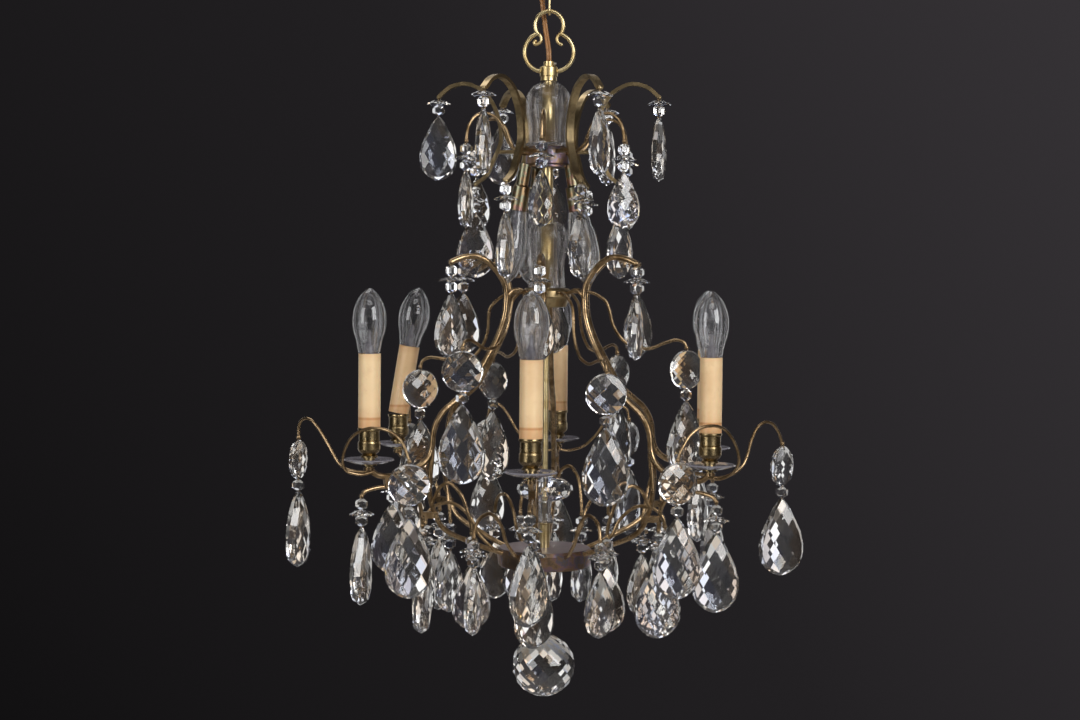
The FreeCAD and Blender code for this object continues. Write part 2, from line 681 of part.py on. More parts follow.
def net_facets(block, sides, half_thick, cell_width, cell_height, middle, edge_share):
    """Diamond facets, all alike: each touches a dome at one point of a diamond net.

    middle is the height of the dome's top. The dome falls evenly with the count of diamonds from
    there, to edge_share of half_thick at the outline's furthest point.
    """
    def away(point):
        return (point.x / cell_width) ** 2 + ((point.z - middle) / cell_height) ** 2

    bend = half_thick * (1 - edge_share) / max(away(point) for direction, point in sides)
    furthest = max(point.Length for direction, point in sides)
    columns = math.ceil(2 * furthest / cell_width)
    rows = math.ceil(2 * furthest / cell_height)
    for row in range(-rows, rows + 1):
        for column in range(-columns, columns + 1):
            point = V(column * cell_width / 2, 0, middle + row * cell_height / 2)
            inside = min(edge.dot(direction) - point.dot(direction) for direction, edge in sides)
            if (row + column) % 2 == 0 and inside > NET_MARGIN:
                point.y = half_thick - bend * away(point)
                slope = V(point.x / cell_width ** 2, 0, (point.z - middle) / cell_height ** 2) * (2 * bend)
                normal = (slope + V(0, 1, 0)).normalize()
                block = both_faces(block, normal, point.dot(normal))
    return block


def cut_crystal(outline, half_thick, cell_width, cell_height, middle, edge_share):
    """A lens cut with a net of diamond facets, over an outline in the XZ plane round the origin."""
    sides = sides_of(outline, SIDE_FACETS)
    reach = 2.4 * max(point.Length for point in outline)
    block = Part.makeBox(reach, 2 * half_thick, reach, V(-reach / 2, -half_thick, -reach / 2))
    block = rim_facets(block, sides, RIM_SLOPE)
    return net_facets(block, sides, half_thick, cell_width, cell_height, middle, edge_share)


SIDE_FACETS = 28
RIM_SLOPE = 30
NET_MARGIN = 1.2
PENDANT_EDGE = 0.2
DISC_EDGE = 0.36

# Half a pendant's outline from its lower to its upper end: shares of its height and of half its width
PENDANT_OUTLINE = [(0, 0), (0.016, 0.27), (0.064, 0.55), (0.144, 0.82), (0.25, 0.97), (0.35, 1), (0.46, 0.96),
                   (0.62, 0.79), (0.78, 0.52), (0.9, 0.27), (0.985, 0.08), (1, 0)]
PENDANT_MIDDLE = 0.35


def pendant(name):
    """A pear-shaped pendant with its top tip at the origin, hanging down."""
    width = size(f"{name}_width")
    height = size(f"{name}_height")
    curve = Part.BSplineCurve()
    curve.interpolate([V(across * width / 2, 0, (up - PENDANT_MIDDLE) * height) for up, across in PENDANT_OUTLINE])
    right = curve.discretize(80)
    outline = right + [V(-point.x, 0, point.z) for point in right]
    crystal = cut_crystal(outline, size(f"{name}_thick") / 2, width * size("net_share"),
                          height * size("net_share"), height / 16, PENDANT_EDGE)
    crystal.translate(V(0, 0, -crystal.BoundBox.ZMax))
    return crystal


def disc():
    radius = size("disc_radius")
    turns = [2 * math.pi * index / SIDE_FACETS for index in range(SIDE_FACETS)]
    outline = [V(math.sin(turn), 0, math.cos(turn)) * radius for turn in turns]
    cell = radius * size("disc_net_share")
    crystal = cut_crystal(outline, size("disc_thick / 2"), cell, cell, 0, DISC_EDGE)
    crystal.translate(V(0, 0, -crystal.BoundBox.ZMax))
    return crystal


def cut_ball(radius, rows, count):
    """A sphere of flat facets, its top at the origin. rows: heights of the facet rows, in degrees."""
    block = Part.makeBox(4 * radius, 4 * radius, 2 * radius, V(-2 * radius, -2 * radius, -radius))
    for number, latitude in enumerate(rows):
        for index in range(count):
            turn = 2 * math.pi * (index + number / 2) / count
            level = math.cos(math.radians(latitude))
            normal = V(math.cos(turn) * level, math.sin(turn) * level, math.sin(math.radians(latitude)))
            block = facet(block, normal, radius)
    block.translate(V(0, 0, -block.BoundBox.ZMax))
    return block


def rosette():
    """A domed star of six petals with flat facets, its axis upright and its top at the origin."""
    radius = size("rosette_radius")
    thick = size("rosette_thick")
    rim = V(radius, 0, ROSETTE_RIM - thick)
    block = Part.makeBox(4 * radius, 4 * radius, thick, V(-2 * radius, -2 * radius, -thick))
    for index in range(2 * PETALS):
        turn = math.pi * (index + 0.5) / PETALS
        for lean, point in ((ROSETTE_SLOPES[0], V(0, 0, 0)), (ROSETTE_SLOPES[1], rim)):
            slope = math.radians(lean)
            distance = point.x * math.sin(slope) + point.z * math.cos(slope)
            normal = V(math.cos(turn) * math.sin(slope), math.sin(turn) * math.sin(slope), math.cos(slope))
            block = facet(block, normal, distance)
    corners = []
    for index in range(PETALS):
        for aside, share in ((-0.2, 0.96), (0, 1), (0.2, 0.96), (0.5, PETAL_VALLEY)):
            turn = 2 * math.pi * (index + aside) / PETALS
            corners.append(V(math.cos(turn), math.sin(turn), 0) * (radius * share) - V(0, 0, thick))
    star = Part.Face(Part.makePolygon(corners + corners[:1])).extrude(UP * thick)
    return block.common(star).removeSplitter()


PETALS = 6
PETAL_VALLEY = 0.7
ROSETTE_RIM = 0.8
ROSETTE_SLOPES = (9, 26)


CRYSTALS = {
    "bead": cut_ball(size("bead_size / 2"), (-55, 0, 55), 6),
    "rosette": rosette(),
    "disc": disc(),
    "large": pendant("large"),
    "medium": pendant("medium"),
    "small": pendant("small"),
}
CHAIN_GAP = 0.3


def chain(names, hook, yaw, first_yaw=None):
    """The crystals that hang under a hook's ball, one below the other, turned by a yaw."""
    solids = []
    level = hook.z - size("eye_radius + running_gap")
    for name in names:
        crystal = CRYSTALS[name].copy()
        crystal.rotate(ORIGIN, UP, yaw if solids or first_yaw is None else first_yaw)
        crystal.translate(V(hook.x, hook.y, level))
        solids.append(crystal)
        level -= CRYSTALS[name].BoundBox.ZLength + CHAIN_GAP
    return solids


ROSETTE_MEDIUM = ("rosette", "bead", "medium")
LONG_MEDIUM = ("bead", "rosette", "bead", "medium")
LONG_SMALL = ("bead", "rosette", "bead", "small")
LONG_LARGE = ("bead", "rosette", "bead", "large")
DISC_LARGE = ("disc", "bead", "large")


def strings(names, hooks, yaws):
    """The crystals under several hooks."""
    solids = []
    for hook, yaw in zip(hooks, yaws):
        solids += chain(names, hook, yaw)
    return solids


def hang(name, names, hooks, yaws):
    """One node with the crystals under several hooks."""
    keep_shape(name, strings(names, hooks, yaws))


# ---------------------------------------------------------------------------------------------
# Knop and glass neck
# ---------------------------------------------------------------------------------------------
KNOP_ROWS = (-58, -32, -8, 8, 32, 58)
KNOP_FACETS = 16


def cut_knop(radius, height):
    """A flattened ball of flat facets round the Z axis, its middle at the origin."""
    block = Part.makeBox(4 * radius, 4 * radius, height, V(-2 * radius, -2 * radius, -height / 2))
    for row, latitude in enumerate(KNOP_ROWS):
        lean = math.radians(latitude)
        for index in range(KNOP_FACETS):
            turn = 2 * math.pi * (index + row / 2) / KNOP_FACETS
            level = math.cos(lean) * height / 2
            rise = math.sin(lean) * radius
            normal = V(math.cos(turn) * level, math.sin(turn) * level, rise)
            block = facet(block, normal, radius * height / 2 / normal.Length)
    return block


knop_shape = cut_knop(size("knop_radius"), size("knop_height"))
knop_shape.translate(V(0, 0, -size(f"{KNOP_TOP} + knop_height / 2")))
rod_space = Part.makeCylinder(size("rod_radius + slip"), size(PLATE_LOW), V(0, 0, -size(PLATE_LOW)))
keep_shape("stem_knop", [knop_shape.cut(rod_space)])

keep(turned("stem_neck_glass_body", [
    ("rod_radius + seat_gap", below(NECK_GLASS_TOP)),
    ("neck_glass_radius", below(NECK_GLASS_TOP)),
    ("neck_glass_radius - 1", below(NECK_GLASS_TOP, "neck_glass_height / 4")),
    ("neck_glass_radius - 1", below(NECK_GLASS_TOP, "neck_glass_height * 0.6")),
    ("neck_glass_radius + 2", below(NECK_GLASS_LOW, "0 - 2")),
    ("neck_glass_radius + 2", below(NECK_GLASS_LOW)),
    ("rod_radius + seat_gap", below(NECK_GLASS_LOW)),
]), "stem_neck_glass")

# ---------------------------------------------------------------------------------------------
# Crown: six flat scrolls and six thin wires
# ---------------------------------------------------------------------------------------------
CROWN_CURVE = [(123.8, -55), (112, -66), (100, -70), (90, -70), (80, -66), (69.8, -59), (60.8, -45.3),
               (56, -32.8), (53, -17.8), (53, -4.8), (56.3, 4.2), (68.6, 33.2), (81, 42)]


def flat_bar(points, width, thick):
    """A flat bar swept along points in the plane y = 0, its width across that plane."""
    start = points[0]
    along = (points[1] - start).normalize()
    across = V(0, 1, 0)
    over = along.cross(across)
    corners = [start + across * (width / 2 * a) + over * (thick / 2 * b)
               for a, b in ((-1, -1), (1, -1), (1, 1), (-1, 1), (-1, -1))]
    builder = Part.BRepOffsetAPI.MakePipeShell(rod_path(points))
    builder.setBiNormalMode(across)
    builder.add(Part.makePolygon(corners))
    builder.build()
    builder.makeSolid()
    return builder.shape()


crown_points = upright(CROWN_CURVE, CROWN_TOP)
crown_points = fitted(crown_points, V(size("crown_reach"), 0, crown_points[0].z),
                      V(size("crown_foot_reach"), 0, crown_points[-1].z))
crown_bar = flat_bar(crown_points, size("scroll_width"), size("scroll_thick"))
CROWN_KNEE = 10
knee = crown_points[CROWN_KNEE]
INTO = 1.5
strut_width = size("scroll_width * 0.7")
strut_root = size("crown_radius") - INTO
strut_low = -size(f"{CROWN_TOP} + scroll_thick * 2")
strut = Part.makeBox(knee.x + INTO - strut_root, strut_width, size("scroll_thick"),
                     V(strut_root, -strut_width / 2, strut_low))
crown_scroll = joined([crown_bar, strut, ball(crown_points[0], size("eye_radius")),
                       ball(crown_points[-1], size("eye_radius"))])
keep_shape("crown_scrolls", all_round(crown_scroll, GAP_ANGLES))

CROWN_WIRE_CURVE = [(24, 9.2), (38, 7.2), (48.6, -0.8), (53.6, -11.8), (58, -22.8), (65.7, -30.8),
                    (74, -34.2), (83.4, -33.8), (92, -28.3), (97, -20.8), (99.2, -11.8), (100, -2.8)]


def wire_set(curve, level, root_reach, hook_reach, diameter):
    """A thin wire from a hub to a hook, and the hook's point."""
    points = upright(curve, level)
    points = fitted(points, V(root_reach, 0, points[0].z), V(hook_reach, 0, points[-1].z))
    wire_solid = joined([bent_rod(points, diameter), ball(points[-1], size("eye_radius"))])
    return wire_solid, points


crown_wire, crown_wire_points = wire_set(
    CROWN_WIRE_CURVE, CROWN_TOP, size("crown_radius") - INTO, size("crown_wire_reach"), size("thin_wire"))
keep_shape("crown_wires", all_round(crown_wire, ARM_ANGLES))

# ---------------------------------------------------------------------------------------------
# Main arms, their brackets and the hub's thin wires
# ---------------------------------------------------------------------------------------------
ARM_CURVE = [(117, -28), (102.4, -34), (85.5, -35.3), (72, -29), (60, -17), (52, -4.4), (50, 8), (51, 27),
             (55, 42), (62.4, 59), (75.4, 81), (94.5, 112), (110, 124), (126, 136), (134.4, 150),
             (137.3, 162), (137.6, 174), (141.8, 186), (150, 194), (169, 202.6), (191, 206),
             (204.8, 202.6), (211.5, 194.8)]
ARM_SHOULDER = 6
ARM_ELBOW = 16
ARM_FOOT = 20
arm_points = upright(ARM_CURVE, HUB_TOP)
arm_points = fitted(arm_points, V(size("arm_hook_reach"), 0, arm_points[0].z),
                    V(size("candle_reach"), 0, -size(CUP_SEAT)))
arm_pad = Part.makeCylinder(size("cup_stem + 1.5"), 3, arm_points[-1] - UP * 3)
arm = joined([bent_rod(arm_points, size("arm_rod")), ball(arm_points[0], size("arm_rod / 2")), arm_pad])
keep_shape("main_arms", all_round(arm, ARM_ANGLES))

shoulder = arm_points[ARM_SHOULDER]
bracket_points = [V(size("hub_radius") - INTO, 0, -size(HUB_TOP) - 6), V(32, 0, shoulder.z + 4),
                  V(40, 0, shoulder.z + 7), V(shoulder.x - INTO, 0, shoulder.z)]
bracket = bent_rod(bracket_points, size("thin_wire * 1.3"))
keep_shape("arm_brackets", all_round(bracket, ARM_ANGLES))

HUB_WIRE_CURVE = [(26, 4), (51.8, 3.5), (67.5, 13.6), (71.4, 25), (74, 38), (81, 52), (94.5, 65), (117, 67.6),
                  (132.8, 60), (146, 56), (154.7, 58.6), (157.5, 65)]
HUB_WIRE_TILTS = {86: 0, -34: 0.7, -94: -11.6, 26: -9.6, -154: -10, 146: -5}
hub_wires = []
hub_hooks = []
for angle in GAP_ANGLES:
    wire_solid, points = wire_set(
        HUB_WIRE_CURVE, HUB_TOP, size("hub_radius") - INTO, size("hub_wire_reach"), size("thin_wire"))
    turn = FreeCAD.Rotation(V(0, -1, 0), HUB_WIRE_TILTS[angle])
    root = points[0]
    wire_solid.rotate(root, V(0, -1, 0), HUB_WIRE_TILTS[angle])
    hook = root + turn.multVec(points[-1] - root)
    hub_wires.append(turn_to(wire_solid, angle))
    hub_hooks.append(at(angle, hook.x, hook.z))
keep_shape("hub_wires", hub_wires)

# ---------------------------------------------------------------------------------------------
# Lower cage: scrolls to the plate, hooked scrolls and their ties
# ---------------------------------------------------------------------------------------------
CAGE_CURVE = [(139, 180), (143, 223), (141, 238), (130, 264), (112, 275), (92, 282), (79, 288), (54, 296)]
CAGE_ELBOW = 2
elbow = arm_points[ARM_ELBOW]
plate_edge = V(size("plate_radius") - 2 * INTO, 0, -size(f"{PLATE_TOP} + plate_height / 4"))
cage_points = fitted(upright(CAGE_CURVE, HUB_TOP), elbow - UP * 4, plate_edge)
keep_shape("lower_scrolls", all_round(bent_rod(cage_points, size("cage_rod")), ARM_ANGLES))

HOOKED_CURVE = [(220, 30.4), (216.5, 25.4), (205, 22.4), (190, 21.2), (172, 22.2), (160, 29.2), (152, 41.2),
                (150, 54.2), (149, 66.2)]
hooked_points = upright(HOOKED_CURVE, CUP_SEAT)
hooked_points = fitted(hooked_points, V(size("candle_reach + cup_stem * 2"), 0, hooked_points[0].z),
                       V(size("hook_reach"), 0, hooked_points[-1].z))
hooked = joined([bent_rod(hooked_points, size("hook_rod")), ball(hooked_points[0], size("eye_radius")),
                 ball(hooked_points[-1], size("eye_radius"))])
keep_shape("hook_scrolls", all_round(hooked, ARM_ANGLES))


def tie(first, second):
    """A small block that clamps two rods where they pass each other."""
    edge = size("tie_size")
    middle = (first + second) / 2
    across = second - first
    length = across.Length + edge * 0.55
    block = Part.makeBox(length, edge, edge, V(-length / 2, -edge / 2, -edge / 2))
    block.Placement = FreeCAD.Placement(middle, FreeCAD.Rotation(V(1, 0, 0), across))
    return block


HOOKED_FOOT = 3
HOOKED_SIDE = 7
cage_side = cage_points[CAGE_ELBOW]
below_elbow = (cage_side + cage_points[CAGE_ELBOW + 1]) / 2
ties = [tie(arm_points[ARM_FOOT], hooked_points[HOOKED_FOOT]), tie(below_elbow, hooked_points[HOOKED_SIDE])]
keep_shape("scroll_ties", [turn_to(block, angle) for block in ties for angle in ARM_ANGLES])

PLATE_WIRE_CURVE = [(51, 6), (60, 2), (66, -4), (77, -15), (82.6, -31), (96, -44.3), (107, -49.3),
                    (123.8, -46.3), (133.5, -37.5), (135.7, -25.5)]
plate_root = size("plate_radius") - 2 * INTO
plate_wire, plate_wire_points = wire_set(
    PLATE_WIRE_CURVE, PLATE_TOP, plate_root, size("plate_wire_reach"), size("plate_wire"))
keep_shape("plate_wires", all_round(plate_wire, GAP_ANGLES))

# Arches from an elbow of the lower cage sideways to a hook beside the plate wire's
ARCHES = ((-64, 19), (56, -19), (-124, 19), (116, -19), (176, -19), (176, 19))
ARCH_REACH = 112
ARCH_RISE = 26
arch_solids = []
arch_hooks = []
for angle, step in ARCHES:
    start = at(angle, cage_side.x, cage_side.z, math.copysign(size("plate_wire") * 0.65, step))
    end = at(angle + step, ARCH_REACH, plate_wire_points[-1].z)
    points = [start, at(angle + step * 0.22, cage_side.x - 6, start.z + ARCH_RISE * 0.75),
              at(angle + step * 0.5, ARCH_REACH + 16, start.z + ARCH_RISE),
              at(angle + step * 0.82, ARCH_REACH + 8, start.z + ARCH_RISE * 0.45),
              at(angle + step * 0.98, ARCH_REACH + 1, end.z + 12), end]
    arch_solids.append(joined([bent_rod(points, size("plate_wire")), ball(end, size("eye_radius"))]))
    arch_hooks.append(end)
keep_shape("scroll_wires", arch_solids)

# ---------------------------------------------------------------------------------------------
# Candles
# ---------------------------------------------------------------------------------------------
cup = turned("cup_body", [
    ("0", "0"),
    ("cup_stem", "0"),
    ("cup_stem", "pan_seat / 2"),
    ("cup_neck + 2", "pan_seat / 2"),
    ("cup_neck + 2", "pan_seat - slip"),
    ("cup_stem", "pan_seat - slip"),
    ("cup_stem", "pan_seat + pan_thick + slip"),
    ("cup_neck", "pan_seat + pan_thick + slip"),
    ("cup_neck", "cup_height - 32.2"),
    ("cup_neck + 2.6", "cup_height - 31.8"),
    ("cup_neck + 2.6", "cup_height - 30"),
    ("cup_neck + 0.6", "cup_height - 29.4"),
    ("cup_neck + 2.2", "cup_height - 27.6"),
    ("cup_radius - 2", "cup_height - 26"),
    ("cup_radius - 0.4", "cup_height - 23"),
    ("cup_radius - 0.4", "cup_height - 16"),
    ("cup_radius - 1", "cup_height - 14.2"),
    ("cup_radius - 1.9", "cup_height - 13.6"),
    ("cup_radius - 1.3", "cup_height - 13"),
    ("cup_radius - 1.4", "cup_height - 3.4"),
    ("cup_radius - 0.3", "cup_height - 2.4"),
    ("cup_radius", "cup_height - 1.2"),
    ("cup_radius - 0.2", "cup_height"),
    ("0", "cup_height"),
])
pan = turned("pan_body", [
    ("cup_stem + slip", "pan_seat"),
    ("pan_radius * 0.7", "pan_seat"),
    ("pan_radius", "pan_seat + pan_thick"),
    ("pan_radius - 1", "pan_seat + pan_thick * 1.5"),
    ("pan_radius * 0.66", "pan_seat + pan_thick"),
    ("cup_stem + slip", "pan_seat + pan_thick"),
])
candle = turned("candle_body", [
    ("candle_radius - candle_wall", "0"),
    ("candle_radius", "0"),
    ("candle_radius", "candle_length"),
    ("candle_radius - candle_wall", "candle_length"),
])
holder = turned("holder_body", [
    ("0", "0"),
    ("holder_radius", "0"),
    ("holder_radius", "candle_length - holder_top_gap"),
    ("bulb_base + socket_gap", "candle_length - holder_top_gap"),
    ("bulb_base + socket_gap", "candle_length - holder_top_gap - socket_depth"),
    ("0", "candle_length - holder_top_gap - socket_depth"),
])
doc.recompute()


def flame_bulb(base, seat, widest, length, inside):
    """A bulb with a flame-shaped glass. It stands on the origin, and its base is below it.

    seat: the glass's radius where it comes out of its holder.
    """
    tip = 0.4
    swelling = [(0, 0), (0.36, 0.16), (0.8, 0.32), (1, 0.5)]
    narrowing = [(0.94, 0.66), (0.755, 0.8), (0.51, 0.9), (0.28, 0.96)]
    outline = [(seat + (widest - seat) * wide, length * up) for wide, up in swelling]
    outline += [(widest * wide, length * up) for wide, up in narrowing] + [(tip, length)]
    curve = Part.BSplineCurve()
    curve.interpolate([V(radius, 0, height) for radius, height in outline])
    neck = (seat - base) / 2
    corners = [V(tip, 0, length), V(0, 0, length), V(0, 0, -inside), V(base, 0, -inside), V(base, 0, -neck),
               V(seat, 0, 0)]
    lines = [Part.LineSegment(start, end).toShape() for start, end in zip(corners, corners[1:])]
    return Part.Face(Part.Wire([curve.toShape()] + lines)).revolve(ORIGIN, UP, 360)


bulb_inside = size("holder_top_gap + socket_depth - rim_step")
bulb = flame_bulb(size("bulb_base"), size("bulb_seat"), size("bulb_radius"), size("bulb_length"), bulb_inside)


def on_arms(shape, level, leaning):
    """Copies of a shape on the six candle seats, with one loose candle leaning."""
    copies = []
    for angle in ARM_ANGLES:
        copy = shape.copy()
        if leaning and angle == LEANING_ARM:
            copy.rotate(V(size("candle_radius"), 0, 0), V(0, 1, 0), size("candle_lean"))
        copy.translate(at(angle, size("candle_reach"), -size(CUP_SEAT) + level))
        copies.append(copy)
    return copies


cup_rim = size("cup_height + running_gap")
keep_shape("candle_cups", on_arms(cup.Shape, 0, False))
keep_shape("drip_pans", on_arms(pan.Shape, 0, False))
keep_shape("candle_sleeves", on_arms(candle.Shape, cup_rim, True))
keep_shape("lamp_holders", on_arms(holder.Shape, cup_rim, True))
lifted = bulb.copy()
lifted.translate(UP * size("candle_length"))
keep_shape("candle_bulbs", on_arms(lifted, cup_rim, True))

# ---------------------------------------------------------------------------------------------
# Downlights round the lower glass
# ---------------------------------------------------------------------------------------------
down_holder = turned("downlight_holder_body", [
    ("0", "down_into"),
    ("down_radius - 2.6", "down_into"),
    ("down_radius - 2.6", "0 - down_length * 0.42"),
    ("down_radius", "0 - down_length * 0.46"),
    ("down_radius", "0 - down_length"),
    ("down_bulb_base + socket_gap", "0 - down_length"),
    ("down_bulb_base + socket_gap", "down_socket - down_length"),
    ("0", "down_socket - down_length"),
])
doc.recompute()
down_bulb = flame_bulb(size("down_bulb_base"), size("down_bulb_seat"), size("down_bulb_radius"),
                       size("down_bulb_length"), size("down_socket - rim_step"))
down_bulb.rotate(ORIGIN, V(1, 0, 0), 180)
down_bulb.translate(UP * -size("down_length + seat_gap + down_bulb_seat - down_bulb_base"))


def downlights(shape):
    copies = []
    for angle in DOWNLIGHT_ANGLES:
        copy = shape.copy()
        copy.rotate(ORIGIN, V(0, 1, 0), -size("down_lean"))
        copy.translate(V(size("down_reach"), 0, -size(CROWN_LOW)))
        copies.append(turn_to(copy, angle))
    return copies


keep_shape("downlight_holders", downlights(down_holder.Shape))
keep_shape("downlight_bulbs", downlights(down_bulb))

# ---------------------------------------------------------------------------------------------
# Side wires at the candles: steps aside, outward and down from the seat
# ---------------------------------------------------------------------------------------------
LEFT_OUTER = [(2, -4, 4.5), (14, 6, 6), (27, 16, 4.5), (37, 22, -2), (49, 29, -21), (59, 35, -36),
              (69, 41, -47), (76, 45, -49.5), (83, 49, -47), (86, 51, -39), (86, 51, -27.5)]
RIGHT_OUTER = [(2, -4, 4.5), (14, 6, 6), (27, 15, 2), (39, 20, -7), (44, 22, -18), (48, 24, -34),
               (55, 27, -47), (65, 31, -53), (75, 35, -51), (83, 39, -41), (88, 41, -28)]
LEFT_FRONT = [(2, -4, 4.5), (1, 9, 8), (-1, 25, 4), (0, 30.5, -4), (2, 31, -12), (7, 30, -22), (15, 27, -34), (26, 20, -42.5),
              (39, 12, -46.5), (52, 2, -45.5), (62, -7, -40), (70, -12, -31), (76, -16, -13)]
RIGHT_FRONT = [(2, -4, 4.5), (-3, 12, 7), (-9, 25, -2), (-9, 31, -13), (-3, 32, -25), (6, 31, -38),
               (16, 28, -48), (27, 25, -53), (38, 20, -54), (49, 14, -52), (59, 8, -44), (67, 3, -30), (70, 1, -19)]
BACK_CURVE = [(2, -4, 4.5), (12, 0, 7.5), (32, 2, 3), (50, 6, -14), (62, 9, -36), (74, 12, -50),
              (86, 15, -46), (88, 15, -32)]
SIDE_WIRES = {
    "left_front_outer": (-64, -1, LEFT_OUTER),
    "left_front_inner": (-64, 1, LEFT_FRONT),
    "right_front_outer": (56, 1, RIGHT_OUTER),
    "right_front_inner": (56, -1, RIGHT_FRONT),
    "back_left": (176, 1, BACK_CURVE),
    "back_right": (176, -1, BACK_CURVE),
    "left_back": (-124, -1, LEFT_OUTER),
    "right_back": (116, 1, RIGHT_OUTER),
}
side_solids = []
side_hooks = {}
for name, (angle, way, curve) in SIDE_WIRES.items():
    points = [at(angle, size("candle_reach") + out, -size(CUP_SEAT) - down, way * aside)
              for aside, out, down in curve]
    side_solids.append(joined([bent_rod(points, size("side_wire")), ball(points[-1], size("eye_radius"))]))
    side_hooks[name] = points[-1]
keep_shape("side_wires", side_solids)

# ---------------------------------------------------------------------------------------------
# Crystals that stay where they hang
# ---------------------------------------------------------------------------------------------
crown_hooks = [at(angle, crown_points[0].x, crown_points[0].z) for angle in GAP_ANGLES]
foot_hooks = [at(angle, crown_points[-1].x, crown_points[-1].z) for angle in GAP_ANGLES]
wire_hooks = [at(angle, crown_wire_points[-1].x, crown_wire_points[-1].z) for angle in ARM_ANGLES]
arm_hook_low = arm_points[0].z - size("arm_rod / 2 - eye_radius")
arm_hooks = [at(angle, arm_points[0].x, arm_hook_low) for angle in ARM_ANGLES]
end_hooks = [at(angle, hooked_points[0].x, hooked_points[0].z) for angle in ARM_ANGLES]
plate_hooks = [at(angle, plate_wire_points[-1].x, plate_wire_points[-1].z) for angle in GAP_ANGLES]

# Turns of each ring's pendants, in the order of ARM_ANGLES or GAP_ANGLES
crown_tops = strings(ROSETTE_MEDIUM, crown_hooks, (80, 65, 80, 70, 10, 0))
crown_feet = strings(LONG_MEDIUM, foot_hooks, (75, 60, 50, 40, 30, 10))
keep_shape("crown_scroll_crystals", crown_tops + crown_feet)
hang("crown_wire_crystals", LONG_SMALL, wire_hooks, (45, 10, 60, 30, 20, 75))
hang("arm_hook_crystals", LONG_MEDIUM, arm_hooks, (40, 75, 40, 30, 20, 35))
hang("hub_wire_crystals", DISC_LARGE, hub_hooks, (0, 3, 30, 50, 42, 27))
hang("scroll_end_crystals", LONG_LARGE, end_hooks, (40, 4, 60, 30, 8, 77))
hang("plate_wire_crystals", LONG_MEDIUM, plate_hooks, (75, 40, 30, 60, 20, 65))
hang("scroll_wire_crystals", LONG_MEDIUM, arch_hooks, (10, 10, 50, 35, 60, 15))

# ---------------------------------------------------------------------------------------------
# Chains that swing: one node under each of these hooks
# ---------------------------------------------------------------------------------------------
SIDE_YAWS = {"left_front_outer": 74, "left_front_inner": 5, "right_front_outer": 10,
             "right_front_inner": 6, "back_left": 30, "back_right": 55, "left_back": 40, "right_back": 65}
DISC_YAWS = {"right_front_outer": 53, "right_front_inner": 20}
for name, hook in side_hooks.items():
    keep_shape(f"side_chain_{name}", chain(DISC_LARGE, hook, SIDE_YAWS[name], DISC_YAWS.get(name)))

ARM_NAMES = ("front", "right_front", "right_back", "back", "left_back", "left_front")
ARM_YAWS = (35, 5, 40, 70, 60, 80)
for name, angle, yaw in zip(ARM_NAMES, ARM_ANGLES, ARM_YAWS):
    hook = at(angle, hooked_points[-1].x, hooked_points[-1].z)
    hang(f"cage_chain_{name}", LONG_LARGE, [hook], [yaw])

BALL_FACETS = 16
BALL_STEP = 180 / BALL_FACETS
BALL_ROWS = [BALL_STEP * row for row in range(-7, 8)]
CRYSTALS["ball"] = cut_ball(size("ball_radius"), BALL_ROWS, BALL_FACETS)
hang("ball_chain", ("bead", "bead", "ball"), [V(0, 0, -size(FINIAL_LOW))], [0])

# ---------------------------------------------------------------------------------------------
# Checks and files
# ---------------------------------------------------------------------------------------------
doc.recompute()
for piece in doc.Objects:
    if "Invalid" in piece.State or "Error" in piece.State:
        raise RuntimeError(f"{piece.Name}: {piece.State}")
os.makedirs("parts", exist_ok=True)
for name, piece in nodes.items():
    shape = piece.Shape
    if shape.isNull() or not shape.isValid() or not shape.Solids:
        raise RuntimeError(f"{name} has no valid solid")
    shape.exportStep(f"parts/{name}.step")
print(len(nodes), "nodes")
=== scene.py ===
# %% [markdown]
# # A cage chandelier in brass and cut glass
# The lamp is a brass frame on one stem. Six candles stand on it, three lamps point down inside it, and
# glass pendants hang from every hook. The frame is already modelled as solids at their real size, so this
# lesson adds what solids can't show: finishes, thin glass, filaments, bows of wire and the twin flex.
# Distances are in metres and angles in degrees, and profiles are in millimetres.

import json
import math

import bmesh
import bpy
from mathutils import Matrix, Vector


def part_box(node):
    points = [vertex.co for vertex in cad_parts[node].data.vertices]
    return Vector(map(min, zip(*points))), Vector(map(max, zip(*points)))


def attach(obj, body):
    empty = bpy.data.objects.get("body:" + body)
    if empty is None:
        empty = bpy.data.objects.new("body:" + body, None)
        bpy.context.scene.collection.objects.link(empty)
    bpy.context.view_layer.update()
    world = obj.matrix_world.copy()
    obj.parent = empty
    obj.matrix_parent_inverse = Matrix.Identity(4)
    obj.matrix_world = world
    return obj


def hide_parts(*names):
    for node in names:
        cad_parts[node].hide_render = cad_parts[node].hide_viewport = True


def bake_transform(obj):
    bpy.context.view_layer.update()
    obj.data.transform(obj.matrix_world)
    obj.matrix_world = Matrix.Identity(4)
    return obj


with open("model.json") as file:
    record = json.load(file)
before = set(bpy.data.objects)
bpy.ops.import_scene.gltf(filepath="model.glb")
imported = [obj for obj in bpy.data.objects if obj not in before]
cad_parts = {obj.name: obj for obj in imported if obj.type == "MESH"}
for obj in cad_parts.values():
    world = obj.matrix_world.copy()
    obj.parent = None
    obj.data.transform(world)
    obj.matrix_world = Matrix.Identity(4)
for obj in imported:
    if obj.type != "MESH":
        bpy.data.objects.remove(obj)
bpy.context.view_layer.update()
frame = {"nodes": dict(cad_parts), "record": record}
NODES = frame["nodes"]
MM = 0.001
RECORD = frame["record"]
BODY_OF = {node: body for body, nodes in RECORD["behaviour"]["bodies"].items() for node in nodes}

# %% [markdown]
# ## The camera
# The photograph was taken from straight ahead with a long lens, a little above the middle of the lamp.
# Its arms give the distance, and the lean of the stem gives the roll.

